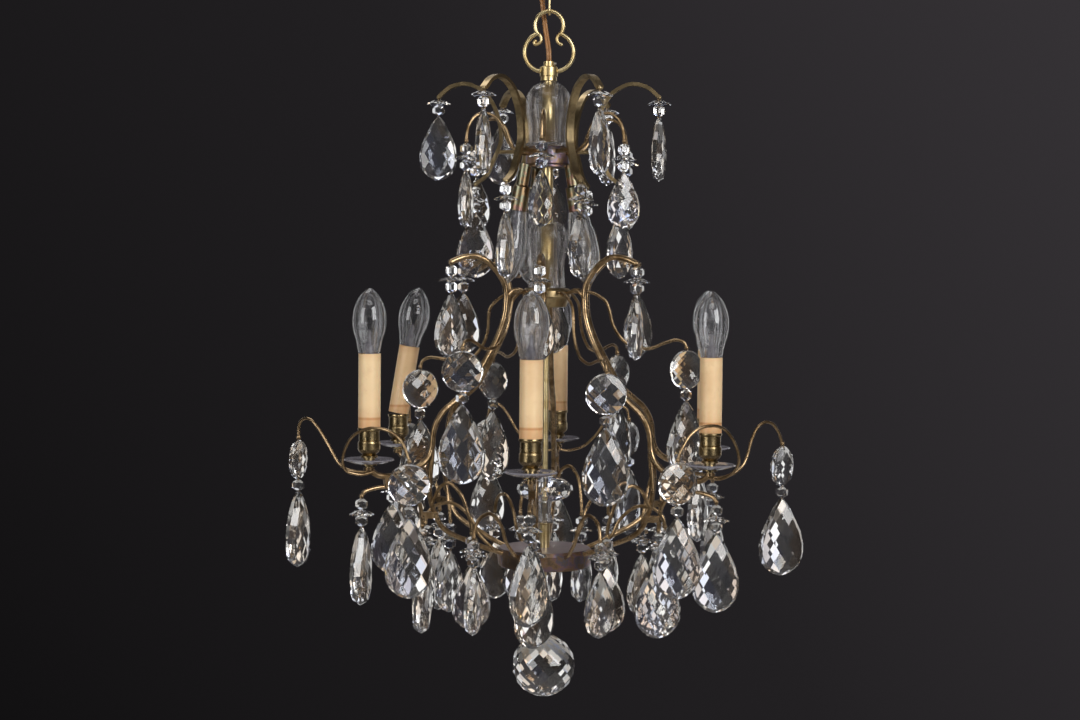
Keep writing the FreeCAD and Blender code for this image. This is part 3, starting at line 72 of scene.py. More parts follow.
# %% Place the camera
PHOTO_WIDTH = 1080
FOCAL_PIXELS = 1876
SENSOR = 36
CAMERA_DISTANCE = 2.110
CAMERA_HEIGHT = -0.362
PITCH_DOWN = 2.44
YAW_LEFT = 0.19
ROLL = 0.52

camera = bpy.data.objects.new("camera", bpy.data.cameras.new("camera"))
bpy.context.collection.objects.link(camera)
camera.data.lens = SENSOR * FOCAL_PIXELS / PHOTO_WIDTH
camera.data.sensor_width = SENSOR
place = Matrix.Translation((0, -CAMERA_DISTANCE, CAMERA_HEIGHT))
yaw = Matrix.Rotation(math.radians(YAW_LEFT), 4, "Z")
pitch = Matrix.Rotation(math.radians(90 - PITCH_DOWN), 4, "X")
roll = Matrix.Rotation(math.radians(ROLL), 4, "Z")
camera.matrix_world = place @ yaw @ pitch @ roll
bpy.context.scene.camera = camera
print("lens", round(camera.data.lens, 1), "mm")

# %% [markdown]
# ## Tools for shaping
# A turned piece is a profile that is spun about the z axis. A wire is a thin curve with a round bevel,
# read back as a mesh. Both are gathered in a bmesh, so that a set of like pieces becomes one object.


# %% From a bmesh to a piece
def mesh_of(shape, name):
    """Writes a bmesh into a new mesh and frees it."""
    mesh = bpy.data.meshes.new(name)
    shape.to_mesh(mesh)
    shape.free()
    return mesh


def new_piece(name, shape, body):
    """Makes an object from a bmesh. With a body's name, it rides on that body of the frame."""
    bmesh.ops.recalc_face_normals(shape, faces=shape.faces)
    mesh = mesh_of(shape, name)
    for face in mesh.polygons:
        face.use_smooth = True
    piece = bpy.data.objects.new(name, mesh)
    bpy.context.collection.objects.link(piece)
    if body:
        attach(piece, body)
    return piece


def add_mesh(shape, mesh, place=Matrix.Identity(4)):
    """Adds a mesh to a bmesh, moved by a matrix, and drops the mesh."""
    mesh.transform(place)
    shape.from_mesh(mesh)
    bpy.data.meshes.remove(mesh)


# %% A lathe
LATHE_STEPS = 32
WELD = 0.002 * MM


def rounded(profile, steps=4):
    """More points on a smooth curve through a profile's points."""
    ends = [profile[0], *profile, profile[-1]]
    finer = []
    for before, start, end, after in zip(ends, ends[1:], ends[2:], ends[3:]):
        for step in range(steps):
            share = step / steps
            pair = []
            for a, b, c, d in zip(before, start, end, after):
                straight = 2 * b + (c - a) * share
                bend = (2 * a - 5 * b + 4 * c - d) * share ** 2 + (3 * b - a - 3 * c + d) * share ** 3
                pair.append((straight + bend) / 2)
            finer.append(tuple(pair))
    return finer + [profile[-1]]


def turned_mesh(profile, steps=LATHE_STEPS):
    """A mesh spun from a profile of radius and height in millimetres."""
    lathe = bmesh.new()
    corners = [lathe.verts.new((radius * MM, 0, height * MM)) for radius, height in profile]
    edges = [lathe.edges.new(pair) for pair in zip(corners, corners[1:])]
    bmesh.ops.spin(lathe, geom=corners + edges, cent=(0, 0, 0), axis=(0, 0, 1), dvec=(0, 0, 0),
                   angle=2 * math.pi, steps=steps, use_merge=True)
    bmesh.ops.remove_doubles(lathe, verts=lathe.verts, dist=WELD)
    bmesh.ops.recalc_face_normals(lathe, faces=lathe.faces)
    return mesh_of(lathe, "turned")


# %% A wire
def wire_mesh(places, radius, sides=2, closed=False):
    """A round wire through places in metres, as a closed mesh."""
    data = bpy.data.curves.new("wire", "CURVE")
    data.dimensions = "3D"
    data.bevel_depth = radius
    data.bevel_resolution = sides
    data.use_fill_caps = True
    spline = data.splines.new("POLY")
    spline.points.add(len(places) - 1)
    for point, place in zip(spline.points, places):
        point.co = (*place, 1)
    spline.use_cyclic_u = closed
    return mesh_from_curve(data)


def mesh_from_curve(data):
    """The mesh that a curve's data makes, with its seams closed."""
    holder = bpy.data.objects.new("holder", data)
    bpy.context.collection.objects.link(holder)
    bpy.context.view_layer.update()
    graph = bpy.context.evaluated_depsgraph_get()
    mesh = bpy.data.meshes.new_from_object(holder.evaluated_get(graph))
    bpy.data.objects.remove(holder)
    bpy.data.curves.remove(data)
    clean = bmesh.new()
    clean.from_mesh(mesh)
    bmesh.ops.remove_doubles(clean, verts=clean.verts, dist=0.001 * MM)
    clean.to_mesh(mesh)
    clean.free()
    return mesh


# %% [markdown]
# ## Where the solids are
# A node can hold many separate solids, such as six candles. Its mesh is loose triangles, so a copy is
# merged and walked from face to face. What comes back is one list of corners for each solid.


# %% Find the solids in a node
def solids_in(node):
    """For each solid of a node, its corners."""
    copy = bmesh.new()
    copy.from_mesh(NODES[node].data)
    bmesh.ops.remove_doubles(copy, verts=copy.verts, dist=WELD)
    found = []
    seen = set()
    for first in copy.verts:
        if first in seen:
            continue
        seen.add(first)
        waiting = [first]
        corners = []
        while waiting:
            corner = waiting.pop()
            corners.append(corner.co.copy())
            for edge in corner.link_edges:
                other = edge.other_vert(corner)
                if other not in seen:
                    seen.add(other)
                    waiting.append(other)
        found.append(corners)
    copy.free()
    return found


def end_of(corners, direction, depth=0.3 * MM):
    """The middle of a solid's end in a direction."""
    reach = max(corner.dot(direction) for corner in corners)
    near = [corner for corner in corners if corner.dot(direction) > reach - depth]
    return sum(near, Vector()) / len(near)


UP = Vector((0, 0, 1))
print(len(solids_in("candle_sleeves")), "candles")

# %% [markdown]
# ## The twin flex
# The supply cable is the only soft part: two insulated cores side by side, which pass behind the hanging
# loop's bar. One spline gives the line, and a profile of two touching circles makes both cores on it.

# %% Lay the flex
FLEX_ROUTE = [(0, 0, -118), (0, 0, -106), (-3.2, 5.6, -88), (-6, 9.8, -68), (-8.2, 12.4, -48),
              (-10, 17.3, -28), (-10, 17.3, -10)]
FLEX_WIDTH = 6.4 * MM
CORE_STEPS = 5
FLEX_TILT = 8


def flex_spline(name, section=None):
    """The flex's smooth line, with the route's points as its control points."""
    data = bpy.data.curves.new(name, "CURVE")
    data.dimensions = "3D"
    data.twist_mode = "Z_UP"
    spline = data.splines.new("NURBS")
    spline.points.add(len(FLEX_ROUTE) - 1)
    for point, place in zip(spline.points, FLEX_ROUTE):
        point.co = (*[coordinate * MM for coordinate in place], 1)
        point.tilt = math.radians(FLEX_TILT)
    spline.order_u = 3
    spline.use_endpoint_u = True
    spline.resolution_u = 8
    if section:
        data.bevel_mode = "OBJECT"
        data.bevel_object = section
        data.use_fill_caps = True
    return data


def twin_section():
    """Two circles side by side, each half as wide as the flex."""
    data = bpy.data.curves.new("section", "CURVE")
    data.dimensions = "2D"
    radius = FLEX_WIDTH / 4
    for side in (-1, 1):
        circle = data.splines.new("BEZIER")
        circle.bezier_points.add(3)
        for index, point in enumerate(circle.bezier_points):
            turn = math.pi / 2 * index
            point.co = (side * radius + radius * math.cos(turn), radius * math.sin(turn), 0)
            point.handle_left_type = point.handle_right_type = "AUTO"
        circle.use_cyclic_u = True
        circle.resolution_u = CORE_STEPS
    section = bpy.data.objects.new("section", data)
    bpy.context.collection.objects.link(section)
    return section


flex_line = mesh_from_curve(flex_spline("flex_line"))
bpy.data.meshes.remove(flex_line)

section = twin_section()
flex_shape = bmesh.new()
add_mesh(flex_shape, mesh_from_curve(flex_spline("flex", section)))
bpy.data.objects.remove(section)
flex = new_piece("twin_flex", flex_shape, None)
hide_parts("supply_cable")
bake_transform(flex)

# %% [markdown]
# ## Finishes
# Every finish is a Principled shader. What it shares with the others, such as tarnish and fine scratches,
# is a node group with named inputs, so one recipe serves brass, bronze and steel at different scales.


# %% Small helpers for node trees
def put(tree, kind, values=None, **settings):
    """Adds a node, sets its settings and the values of its inputs."""
    node = tree.nodes.new(kind)
    for name, value in settings.items():
        setattr(node, name, value)
    for name, value in (values or {}).items():
        node.inputs[name].default_value = value
    return node


def colour(red, green, blue):
    """A colour from screen values of 0 to 255, as the linear values that a shader reads."""
    linear = []
    for value in (red, green, blue):
        share = value / 255
        linear.append(share / 12.92 if share < 0.04045 else ((share + 0.055) / 1.055) ** 2.4)
    return (*linear, 1)


def new_group(name, inputs, outputs):
    """An empty node group with number inputs and outputs."""
    group = bpy.data.node_groups.new(name, "ShaderNodeTree")
    for label, value in inputs.items():
        socket = group.interface.new_socket(label, in_out="INPUT", socket_type="NodeSocketFloat")
        socket.default_value = value
    for label in outputs:
        group.interface.new_socket(label, in_out="OUTPUT", socket_type="NodeSocketFloat")
    return group, group.nodes.new("NodeGroupInput"), group.nodes.new("NodeGroupOutput")


# %% The group for tarnish: soft patches with ragged edges
def make_tarnish():
    group, given, result = new_group("tarnish", {"Scale": 60, "Low": 0.45, "High": 0.65}, ["Mask"])
    place = put(group, "ShaderNodeTexCoord")
    cloud = put(group, "ShaderNodeTexNoise", {"Detail": 6, "Roughness": 0.62})
    edge = put(group, "ShaderNodeMapRange", interpolation_type="SMOOTHSTEP")
    group.links.new(place.outputs["Object"], cloud.inputs["Vector"])
    group.links.new(given.outputs["Scale"], cloud.inputs["Scale"])
    group.links.new(cloud.outputs["Fac"], edge.inputs["Value"])
    group.links.new(given.outputs["Low"], edge.inputs["From Min"])
    group.links.new(given.outputs["High"], edge.inputs["From Max"])
    group.links.new(edge.outputs["Result"], result.inputs["Mask"])
    return group


# %% The group for fine scratches: a thin noise stretched along one axis
def make_scratches():
    group, given, result = new_group("scratches", {"Scale": 900, "Stretch": 0.08}, ["Height"])
    place = put(group, "ShaderNodeTexCoord")
    stretch = put(group, "ShaderNodeCombineXYZ", {"X": 1, "Y": 1})
    scaled = put(group, "ShaderNodeVectorMath", operation="MULTIPLY")
    lines = put(group, "ShaderNodeTexNoise", {"Detail": 3, "Roughness": 0.7})
    group.links.new(given.outputs["Stretch"], stretch.inputs["Z"])
    group.links.new(place.outputs["Object"], scaled.inputs[0])
    group.links.new(stretch.outputs["Vector"], scaled.inputs[1])
    group.links.new(scaled.outputs["Vector"], lines.inputs["Vector"])
    group.links.new(given.outputs["Scale"], lines.inputs["Scale"])
    group.links.new(lines.outputs["Fac"], result.inputs["Height"])
    return group


GROUPS = {"tarnish": make_tarnish(), "scratches": make_scratches()}
print("groups:", ", ".join(GROUPS))


# %% A material's frame
def new_material(name):
    """A material with its Principled shader ready."""
    material = bpy.data.materials.new(name)
    material.use_nodes = True
    return material, material.node_tree, material.node_tree.nodes["Principled BSDF"]


def placed(tree, group, **values):
    """Places one of the shared groups in a material, with the material's own values."""
    return put(tree, "ShaderNodeGroup", values, node_tree=GROUPS[group])


def shaded(tree, first, second, mask):
    """Mixes two colours, or a colour and a socket, by a mask."""
    mix = put(tree, "ShaderNodeMix", data_type="RGBA")
    for index, source in ((6, first), (7, second)):
        if isinstance(source, tuple):
            mix.inputs[index].default_value = source
        else:
            tree.links.new(source, mix.inputs[index])
    tree.links.new(mask, mix.inputs["Factor"])
    return mix.outputs[2]


def ranged(tree, source, low, high, start=0, end=1):
    """Turns a value from start to end into one from low to high."""
    limits = {"From Min": start, "From Max": end, "To Min": low, "To Max": high}
    node = put(tree, "ShaderNodeMapRange", limits)
    tree.links.new(source, node.inputs["Value"])
    return node.outputs["Result"]


def ramped(tree, source, stops):
    """A colour ramp through stops of position and colour, led by a source."""
    node = put(tree, "ShaderNodeValToRGB")
    elements = node.color_ramp.elements
    for position, tone in stops[1:-1]:
        elements.new(position).color = tone
    for element, (position, tone) in zip((elements[0], elements[-1]), (stops[0], stops[-1])):
        element.position = position
        element.color = tone
    tree.links.new(source, node.inputs["Fac"])
    return node.outputs["Color"]


def part_z(tree, source):
    """The z part of a vector."""
    split = put(tree, "ShaderNodeSeparateXYZ")
    tree.links.new(source, split.inputs["Vector"])
    return split.outputs["Z"]


def bumped(tree, shader, height, strength, distance):
    """Feeds a height into the shader's normal."""
    bump = put(tree, "ShaderNodeBump", {"Strength": strength, "Distance": distance})
    tree.links.new(height, bump.inputs["Height"])
    tree.links.new(bump.outputs["Normal"], shader.inputs["Normal"])


# %% [markdown]
# ## Brass
# The frame's brass is old. It is lighter where it was rubbed and darker where it was not. The loop is a
# paler alloy and the cups are olive. The collar and plate are bronze that has gone dark, with blue and
# purple bands, and the downlights' holders have green and pink ones. A colour ramp gives such bands. Grey
# dust has settled where the collar and plate face up, and a mask from the normal's z puts it there.


# %% Brass and steel
SPECK_FINENESS = 9
SPECK_SHADE = 0.45
SCRATCH_DEPTH = 0.2 * MM


def make_metal(name, bright, tarnished, roughness, scale=55, scratch=0.03, specked=0.4):
    """Metal with tarnished patches, dark specks and fine scratches."""
    material, tree, shader = new_material(name)
    shader.inputs["Metallic"].default_value = 1
    patches = placed(tree, "tarnish", Scale=scale, Low=0.42, High=0.66)
    specks = placed(tree, "tarnish", Scale=scale * SPECK_FINENESS, Low=0.56, High=0.74)
    base = shaded(tree, bright, tarnished, patches.outputs["Mask"])
    darkest = tuple(part * SPECK_SHADE for part in tarnished[:3]) + (1,)
    speckled = ranged(tree, specks.outputs["Mask"], 0, specked)
    tree.links.new(shaded(tree, base, darkest, speckled), shader.inputs["Base Color"])
    tree.links.new(ranged(tree, patches.outputs["Mask"], *roughness), shader.inputs["Roughness"])
    lines = placed(tree, "scratches", Scale=1100, Stretch=0.1)
    bumped(tree, shader, lines.outputs["Height"], scratch, SCRATCH_DEPTH)
    return material


MATERIALS = {
    "aged_brass": make_metal("aged_brass", colour(172, 146, 112), colour(112, 90, 62), (0.26, 0.42)),
    "pale_brass": make_metal("pale_brass", colour(228, 208, 158), colour(196, 170, 118), (0.3, 0.44),
                             scratch=0.004, specked=0.1),
    "olive_brass": make_metal("olive_brass", colour(166, 146, 108), colour(118, 102, 72), (0.26, 0.4),
                              scale=90),
    "steel_rod": make_metal("steel_rod", colour(196, 192, 184), colour(150, 144, 136), (0.25, 0.4)),
    "old_olive": make_metal("old_olive", colour(184, 162, 122), colour(132, 114, 84), (0.28, 0.44)),
}
print(len(MATERIALS), "metals")


# %% Bronze with bands of colour
DUST_FACING = (0.8, 0.98)
DUST_COVER = 0.85
DUSTY_METALLIC = 0.2


def make_bronze(name, stops, scale, dust=None):
    """Bronze with soft bands of other colours, as heat and age leave them, and dust on what faces up."""
    material, tree, shader = new_material(name)
    shader.inputs["Metallic"].default_value = 1
    cloud = placed(tree, "tarnish", Scale=scale, Low=0.3, High=0.72)
    surface = ramped(tree, cloud.outputs["Mask"], stops)
    if dust:
        facing = put(tree, "ShaderNodeNewGeometry")
        settled = ranged(tree, part_z(tree, facing.outputs["Normal"]), 0, 1, *DUST_FACING)
        surface = shaded(tree, surface, dust, ranged(tree, settled, 0, DUST_COVER))
        tree.links.new(ranged(tree, settled, 1, DUSTY_METALLIC), shader.inputs["Metallic"])
    tree.links.new(surface, shader.inputs["Base Color"])
    tree.links.new(ranged(tree, cloud.outputs["Mask"], 0.28, 0.42), shader.inputs["Roughness"])
    lines = placed(tree, "scratches", Scale=900, Stretch=1)
    bumped(tree, shader, lines.outputs["Height"], 0.1, SCRATCH_DEPTH)
    return material


DUST = colour(158, 146, 150)
MATERIALS["dark_bronze"] = make_bronze("dark_bronze", [
    (0, colour(120, 103, 90)), (0.3, colour(150, 126, 104)), (0.46, colour(122, 122, 136)),
    (0.58, colour(150, 124, 138)), (0.76, colour(164, 134, 104)), (1, colour(112, 98, 88))], 38, DUST)
MATERIALS["tinted_bronze"] = make_bronze("tinted_bronze", [
    (0, colour(104, 86, 66)), (0.3, colour(140, 114, 84)), (0.46, colour(118, 124, 104)),
    (0.56, colour(142, 116, 88)), (0.7, colour(140, 106, 102)), (1, colour(124, 100, 76))], 26)
print("bronze:", ", ".join(name for name in MATERIALS if "bronze" in name))

# %% [markdown]
# ## Glass
# Cut crystal is almost colourless and perfectly smooth on its facets. It bends light more than plain
# glass does, and it splits white light a little. A weak tint that depends on each facet's direction stands
# for those colours. The blown pieces are plainer glass, with a trace of dust. The thin ones have an alpha
# below 1 too, so that light gets through their walls to the brass and the mounts inside.


# %% Cut crystal
def make_crystal():
    """Clear cut glass with a weak tint for each facet."""
    material, tree, shader = new_material("crystal")
    shader.inputs["Transmission Weight"].default_value = 0.975
    shader.inputs["IOR"].default_value = 1.6
    shader.inputs["Roughness"].default_value = 0
    facing = put(tree, "ShaderNodeNewGeometry")
    cells = put(tree, "ShaderNodeTexNoise", {"Scale": 2.6, "Detail": 0}, noise_dimensions="3D")
    tree.links.new(facing.outputs["True Normal"], cells.inputs["Vector"])
    tints = ramped(tree, cells.outputs["Fac"], [
        (0.3, colour(214, 224, 255)), (0.39, colour(252, 252, 250)),
        (0.61, colour(252, 251, 248)), (0.7, colour(255, 230, 202))])
    tree.links.new(tints, shader.inputs["Base Color"])
    return material


MATERIALS["crystal"] = make_crystal()
print("cut glass:", len(MATERIALS["crystal"].node_tree.nodes), "nodes")


# %% Blown glass, with dust and slow swirls
def make_glass(name, tint, dusty, transmission, roughness, swirl, alpha=1):
    """Glass with patches of dust. The swirl is how strongly its thickness wavers."""
    material, tree, shader = new_material(name)
    shader.inputs["Alpha"].default_value = alpha
    shader.inputs["Transmission Weight"].default_value = transmission
    shader.inputs["IOR"].default_value = 1.5
    dust = placed(tree, "tarnish", Scale=70, Low=0.4, High=0.75)
    tree.links.new(shaded(tree, tint, dusty, dust.outputs["Mask"]), shader.inputs["Base Color"])
    tree.links.new(ranged(tree, dust.outputs["Mask"], *roughness), shader.inputs["Roughness"])
    waves = placed(tree, "scratches", Scale=90, Stretch=0.35)
    bumped(tree, shader, waves.outputs["Height"], swirl, 1.2 * MM)
    return material


GLASSES = {
    "clear_glass": (colour(206, 202, 200), colour(168, 164, 164), 0.86, (0.01, 0.08), 0.5),
    "thin_glass": (colour(212, 206, 202), colour(172, 166, 164), 0.93, (0.01, 0.08), 0.6, 0.32),
    "bulb_glass": (colour(236, 236, 238), colour(206, 206, 208), 0.98, (0, 0.02), 0.008, 0.75),
    "dusty_glass": (colour(186, 182, 190), colour(150, 146, 154), 0.6, (0.1, 0.25), 0.1),
}
for name, values in GLASSES.items():
    MATERIALS[name] = make_glass(name, *values)
print("blown glass:", ", ".join(GLASSES))

# %% [markdown]
# ## Candle sleeves
# The sleeves are card tubes with a waxed cream skin. Heat and handling have browned both ends, and a brown
# line marks the cup's edge. Each one has aged to its own tone. A ramp along z browns the ends, and a slow
# noise shifts the tone. Plain plastic, for the lamp holders and the flex, is made here too.


# %% Waxed card
BROWNING = [(0, 0.6), (0.1, 0.5), (0.125, 0.95), (0.15, 0.22), (0.3, 0.05), (0.86, 0.02), (0.96, 0.25),
            (1, 0.8)]


def make_candle():
    """Cream card, browned at its ends."""
    material, tree, shader = new_material("candle_cream")
    low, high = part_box("candle_sleeves")
    place = put(tree, "ShaderNodeTexCoord")
    height = ranged(tree, part_z(tree, place.outputs["Object"]), 0, 1, low.z, high.z)
    browned = ramped(tree, height, [(position, (value, value, value, 1)) for position, value in BROWNING])
    cream = shaded(tree, colour(253, 220, 172), colour(206, 140, 82), browned)
    slow = placed(tree, "tarnish", Scale=5, Low=0.46, High=0.62)
    aged = shaded(tree, cream, colour(208, 156, 104), ranged(tree, slow.outputs["Mask"], 0, 0.35))
    patches = placed(tree, "tarnish", Scale=120, Low=0.5, High=0.75)
    spotted = shaded(tree, aged, colour(196, 144, 92), ranged(tree, patches.outputs["Mask"], 0, 0.16))
    tree.links.new(spotted, shader.inputs["Base Color"])
    tree.links.new(ranged(tree, patches.outputs["Mask"], 0.42, 0.6), shader.inputs["Roughness"])
    shader.inputs["Subsurface Weight"].default_value = 0.06
    shader.inputs["Subsurface Scale"].default_value = 2 * MM
    grain = placed(tree, "scratches", Scale=500, Stretch=0.2)
    bumped(tree, shader, grain.outputs["Height"], 0.15, 0.3 * MM)
    return material


MATERIALS["candle_cream"] = make_candle()
low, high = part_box("candle_sleeves")
print("candle sleeves", round((high.z - low.z) / MM), "mm tall")


# %% Plain plastic
def make_plain(name, base, second, roughness):
    """A plain plastic with soft variation."""
    material, tree, shader = new_material(name)
    patches = placed(tree, "tarnish", Scale=150, Low=0.4, High=0.7)
    tree.links.new(shaded(tree, base, second, patches.outputs["Mask"]), shader.inputs["Base Color"])
    worn = ranged(tree, patches.outputs["Mask"], roughness, roughness + 0.15)
    tree.links.new(worn, shader.inputs["Roughness"])
    grain = placed(tree, "scratches", Scale=700, Stretch=0.5)
    bumped(tree, shader, grain.outputs["Height"], 0.2, 0.2 * MM)
    return material


MATERIALS["holder_plastic"] = make_plain("holder_plastic", colour(70, 52, 38), colour(48, 36, 28), 0.4)
MATERIALS["flex_gold"] = make_plain("flex_gold", colour(168, 120, 72), colour(134, 92, 52), 0.3)
print(len(MATERIALS), "materials")

# %% [markdown]
# ## Dressing the solids
# Each node's record names its material. A few nodes wear a look of their own instead, because they have
# aged in another way than the rest.

# %% Dress the solids
OWN_LOOK = {"drip_pans": "dusty_glass", "crown_scrolls": "old_olive", "main_hub": "old_olive",
            "downlight_holders": "tinted_bronze", "upper_glass": "thin_glass", "lower_glass": "thin_glass"}
for part in RECORD["subparts"]:
    node = NODES[part["node"]]
    look = OWN_LOOK.get(part["node"], part["material_slot"])
    node.data.materials.clear()
    node.data.materials.append(MATERIALS[look])
flex.data.materials.append(MATERIALS["flex_gold"])
print(len(RECORD["subparts"]), "nodes dressed,", len(OWN_LOOK), "of them in their own look")


# %% Dress a new piece
def dress(piece, look):
    """Gives a new piece its material."""
    piece.data.materials.append(MATERIALS[look])
    print(piece.name, len(piece.data.polygons), "faces")


# %% [markdown]
# ## Inside and under the stem glasses
# A brass sleeve lines the stem in both glasses. It is a short profile on the lathe. The upper glass ends
# in a scalloped rim, which is a ring of glass whose radius waves in and out.

# %% Sleeves round the stem
SLEEVE_BORE = 6
SLEEVE_RADIUS = 7.4
GAP_BELOW = 0.4
GAP_ABOVE = 2.4
for node in ("upper_glass", "lower_glass"):
    low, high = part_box(node)
    bottom, top = low.z / MM + GAP_BELOW, high.z / MM - GAP_ABOVE
    sleeve = bmesh.new()
    add_mesh(sleeve, turned_mesh([(SLEEVE_BORE, bottom), (SLEEVE_RADIUS, bottom), (SLEEVE_RADIUS, top),
                                  (SLEEVE_BORE, top), (SLEEVE_BORE, bottom)]))
    # The sleeves' paler brass is painted light: it is lighter than the frame's brass, so that they look lit
    # through the glass.
    dress(new_piece(f"{node}_sleeve", sleeve, "frame"), "pale_brass")

# %% A scalloped rim
LOBES = 16
STEPS_PER_LOBE = 6
RIM_RADIUS = 22.6
LOBE_DEPTH = 0.9
RIM_WIRE = 1.8 * MM
RIM_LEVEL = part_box("upper_glass")[0].z + 2 * MM
scallops = []
for index in range(LOBES * STEPS_PER_LOBE):
    turn = 2 * math.pi * index / (LOBES * STEPS_PER_LOBE)
    radius = (RIM_RADIUS + LOBE_DEPTH * math.cos(LOBES * turn)) * MM
    scallops.append(Vector((radius * math.cos(turn), radius * math.sin(turn), RIM_LEVEL)))
rim = bmesh.new()
add_mesh(rim, wire_mesh(scallops, RIM_WIRE, closed=True))
dress(new_piece("upper_glass_rim", rim, "frame"), "clear_glass")

# %% [markdown]
# ## Thin bulbs
# The solids of the bulbs are solid glass. Real ones are thin shells round a glass stem, two support wires
# and a zigzag filament. The shell is spun, and its wall comes from solidify, so light bends as it should.
# Each one stands on the line from the middle of its solid to the tip.

# %% Tools for the bulbs
BULB_WALL = 0.7
FILAMENT_TURNS = 7
FILAMENT_RISE = 2.5
SUPPORTS_APART = 2.4
SUPPORT_BOW = 0.6
SUPPORT_WIRE = 0.25
FILAMENT_WIRE = 0.18
CANDLE_BULB = [(6.6, -12), (8.6, -7), (10, -3), (10.5, 0), (12.2, 8.3), (13.5, 15.3), (16.3, 24.3),
               (17.5, 34.7), (16.5, 45.8), (13.2, 55.5), (9, 62.5), (5, 66.6), (2, 68.9), (0, 69.4)]
DOWNLIGHT_BULB = [(7.6, -7), (8.8, -3), (9.6, 0), (11.4, 7), (12.6, 14), (15.2, 25), (16.6, 38), (16.2, 50),
                  (13.4, 62), (9, 71.5), (5, 76.8), (2, 79.4), (0, 80)]


def place_of(corners, towards, length):
    """A matrix that stands a turned piece, length tall, so that its tip is the solid's tip."""
    middle = sum(corners, Vector()) / len(corners)
    tip = end_of(corners, towards, 0.5 * MM)
    axis = (tip - middle).normalized()
    seat = tip - axis * (length * MM)
    return Matrix.Translation(seat) @ UP.rotation_difference(axis).to_matrix().to_4x4()


def shell_mesh(profile, wall):
    """A spun shell with an inner wall."""
    shape = bmesh.new()
    add_mesh(shape, turned_mesh(rounded(profile)))
    bmesh.ops.recalc_face_normals(shape, faces=shape.faces)
    bmesh.ops.solidify(shape, geom=shape.faces[:], thickness=wall * MM)
    return mesh_of(shape, "shell")


def filament_mesh(low, high, spread):
    """Support wires and a zigzag filament, in millimetres above the seat."""
    shape = bmesh.new()
    for side in (-1, 1):
        foot = Vector((side * SUPPORTS_APART / 2, 0, low)) * MM
        tip = Vector((side * spread, 0, high)) * MM
        bowed = (foot + tip) / 2 + Vector((side * SUPPORT_BOW * MM, 0, 0))
        add_mesh(shape, wire_mesh([foot, bowed, tip], SUPPORT_WIRE * MM, 1))
    zigzag = []
    for index in range(FILAMENT_TURNS + 1):
        across = spread * (2 * index / FILAMENT_TURNS - 1)
        rise = FILAMENT_RISE if index % 2 else 0
        zigzag.append(Vector((across, 0, high + rise)) * MM)
    add_mesh(shape, wire_mesh(zigzag, FILAMENT_WIRE * MM, 1))
    return mesh_of(shape, "filament")


# %% Candle bulbs and downlights
MOUNT = [(5, -8), (5.6, 2), (4.6, 9), (2.6, 15), (1.8, 20), (2.4, 23), (1.4, 25), (0, 25.5)]
MOUNT_STEPS = 16
WIRE_FOOT = 23
FILAMENT_LEVEL = 0.56


def make_bulbs(node, towards, profile, spread):
    """Shells, glass mounts and filaments for every bulb of a node, whose tips point one way."""
    length = profile[-1][1]
    shells, mounts, filaments = bmesh.new(), bmesh.new(), bmesh.new()
    for corners in solids_in(node):
        seat = place_of(corners, towards, length)
        add_mesh(shells, shell_mesh(profile, -BULB_WALL), seat)
        add_mesh(mounts, turned_mesh(rounded(MOUNT, 3), MOUNT_STEPS), seat)
        add_mesh(filaments, filament_mesh(WIRE_FOOT, length * FILAMENT_LEVEL, spread), seat)
    shell = new_piece(f"{node}_shells", shells, "frame")
    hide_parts(node)
    dress(shell, "bulb_glass")
    dress(new_piece(f"{node}_mounts", mounts, "frame"), "dusty_glass")
    dress(new_piece(f"{node}_filaments", filaments, "frame"), "steel_rod")


make_bulbs("candle_bulbs", UP, CANDLE_BULB, 5)
make_bulbs("downlight_bulbs", -UP, DOWNLIGHT_BULB, 6)

# %% [markdown]
# ## Bows between the crystals
# Every crystal is drilled at its top and hangs on a small bow of brass wire. One ring at each joint of a
# chain stands for the bow. It is a circle spun about an axis beside it. The rings are gathered by body, so
# that they swing with their chain.

# %% One ring at each joint of every chain
BOW_RADIUS = 1.9
BOW_WIRE = 0.42
BOW_SIDES = 5
BOW_STEPS = 10
CHAINS = [node for node in NODES if node.endswith("_crystals") or "_chain" in node]


def bow_mesh():
    """A small upright ring."""
    shape = bmesh.new()
    circle = bmesh.ops.create_circle(shape, segments=BOW_SIDES, radius=BOW_WIRE * MM,
                                     matrix=Matrix.Translation((BOW_RADIUS * MM, 0, 0)))
    edges = list({edge for corner in circle["verts"] for edge in corner.link_edges})
    bmesh.ops.spin(shape, geom=circle["verts"] + edges, cent=(0, 0, 0), axis=(0, 1, 0), dvec=(0, 0, 0),
                   angle=2 * math.pi, steps=BOW_STEPS, use_merge=True)
    bmesh.ops.remove_doubles(shape, verts=shape.verts, dist=0.001 * MM)
    bmesh.ops.recalc_face_normals(shape, faces=shape.faces)
    return mesh_of(shape, "bow")


bows = {}
for node in CHAINS:
    body = BODY_OF[node]
    for corners in solids_in(node):
        top = end_of(corners, UP)
        spread = max(corners, key=lambda corner: (corner.xy - top.xy).length) - top
        turn = math.atan2(spread.y, spread.x) + math.pi / 2
        shape = bows.setdefault(body, bmesh.new())
        add_mesh(shape, bow_mesh(), Matrix.Translation(top) @ Matrix.Rotation(turn, 4, "Z"))
for body, shape in bows.items():
    dress(new_piece(f"crystal_bows_{body}", shape, body), "aged_brass")

# %% [markdown]
# ## Light
# Two soft boxes stand in front, a larger one on the right, as the white windows in the cut glass show. Two
# more light the lamp from above. Clear glass is seen by what lies behind it, so dim strips and panels stand
# behind the lamp, just outside the camera's view, and brighten the edges of the facets.


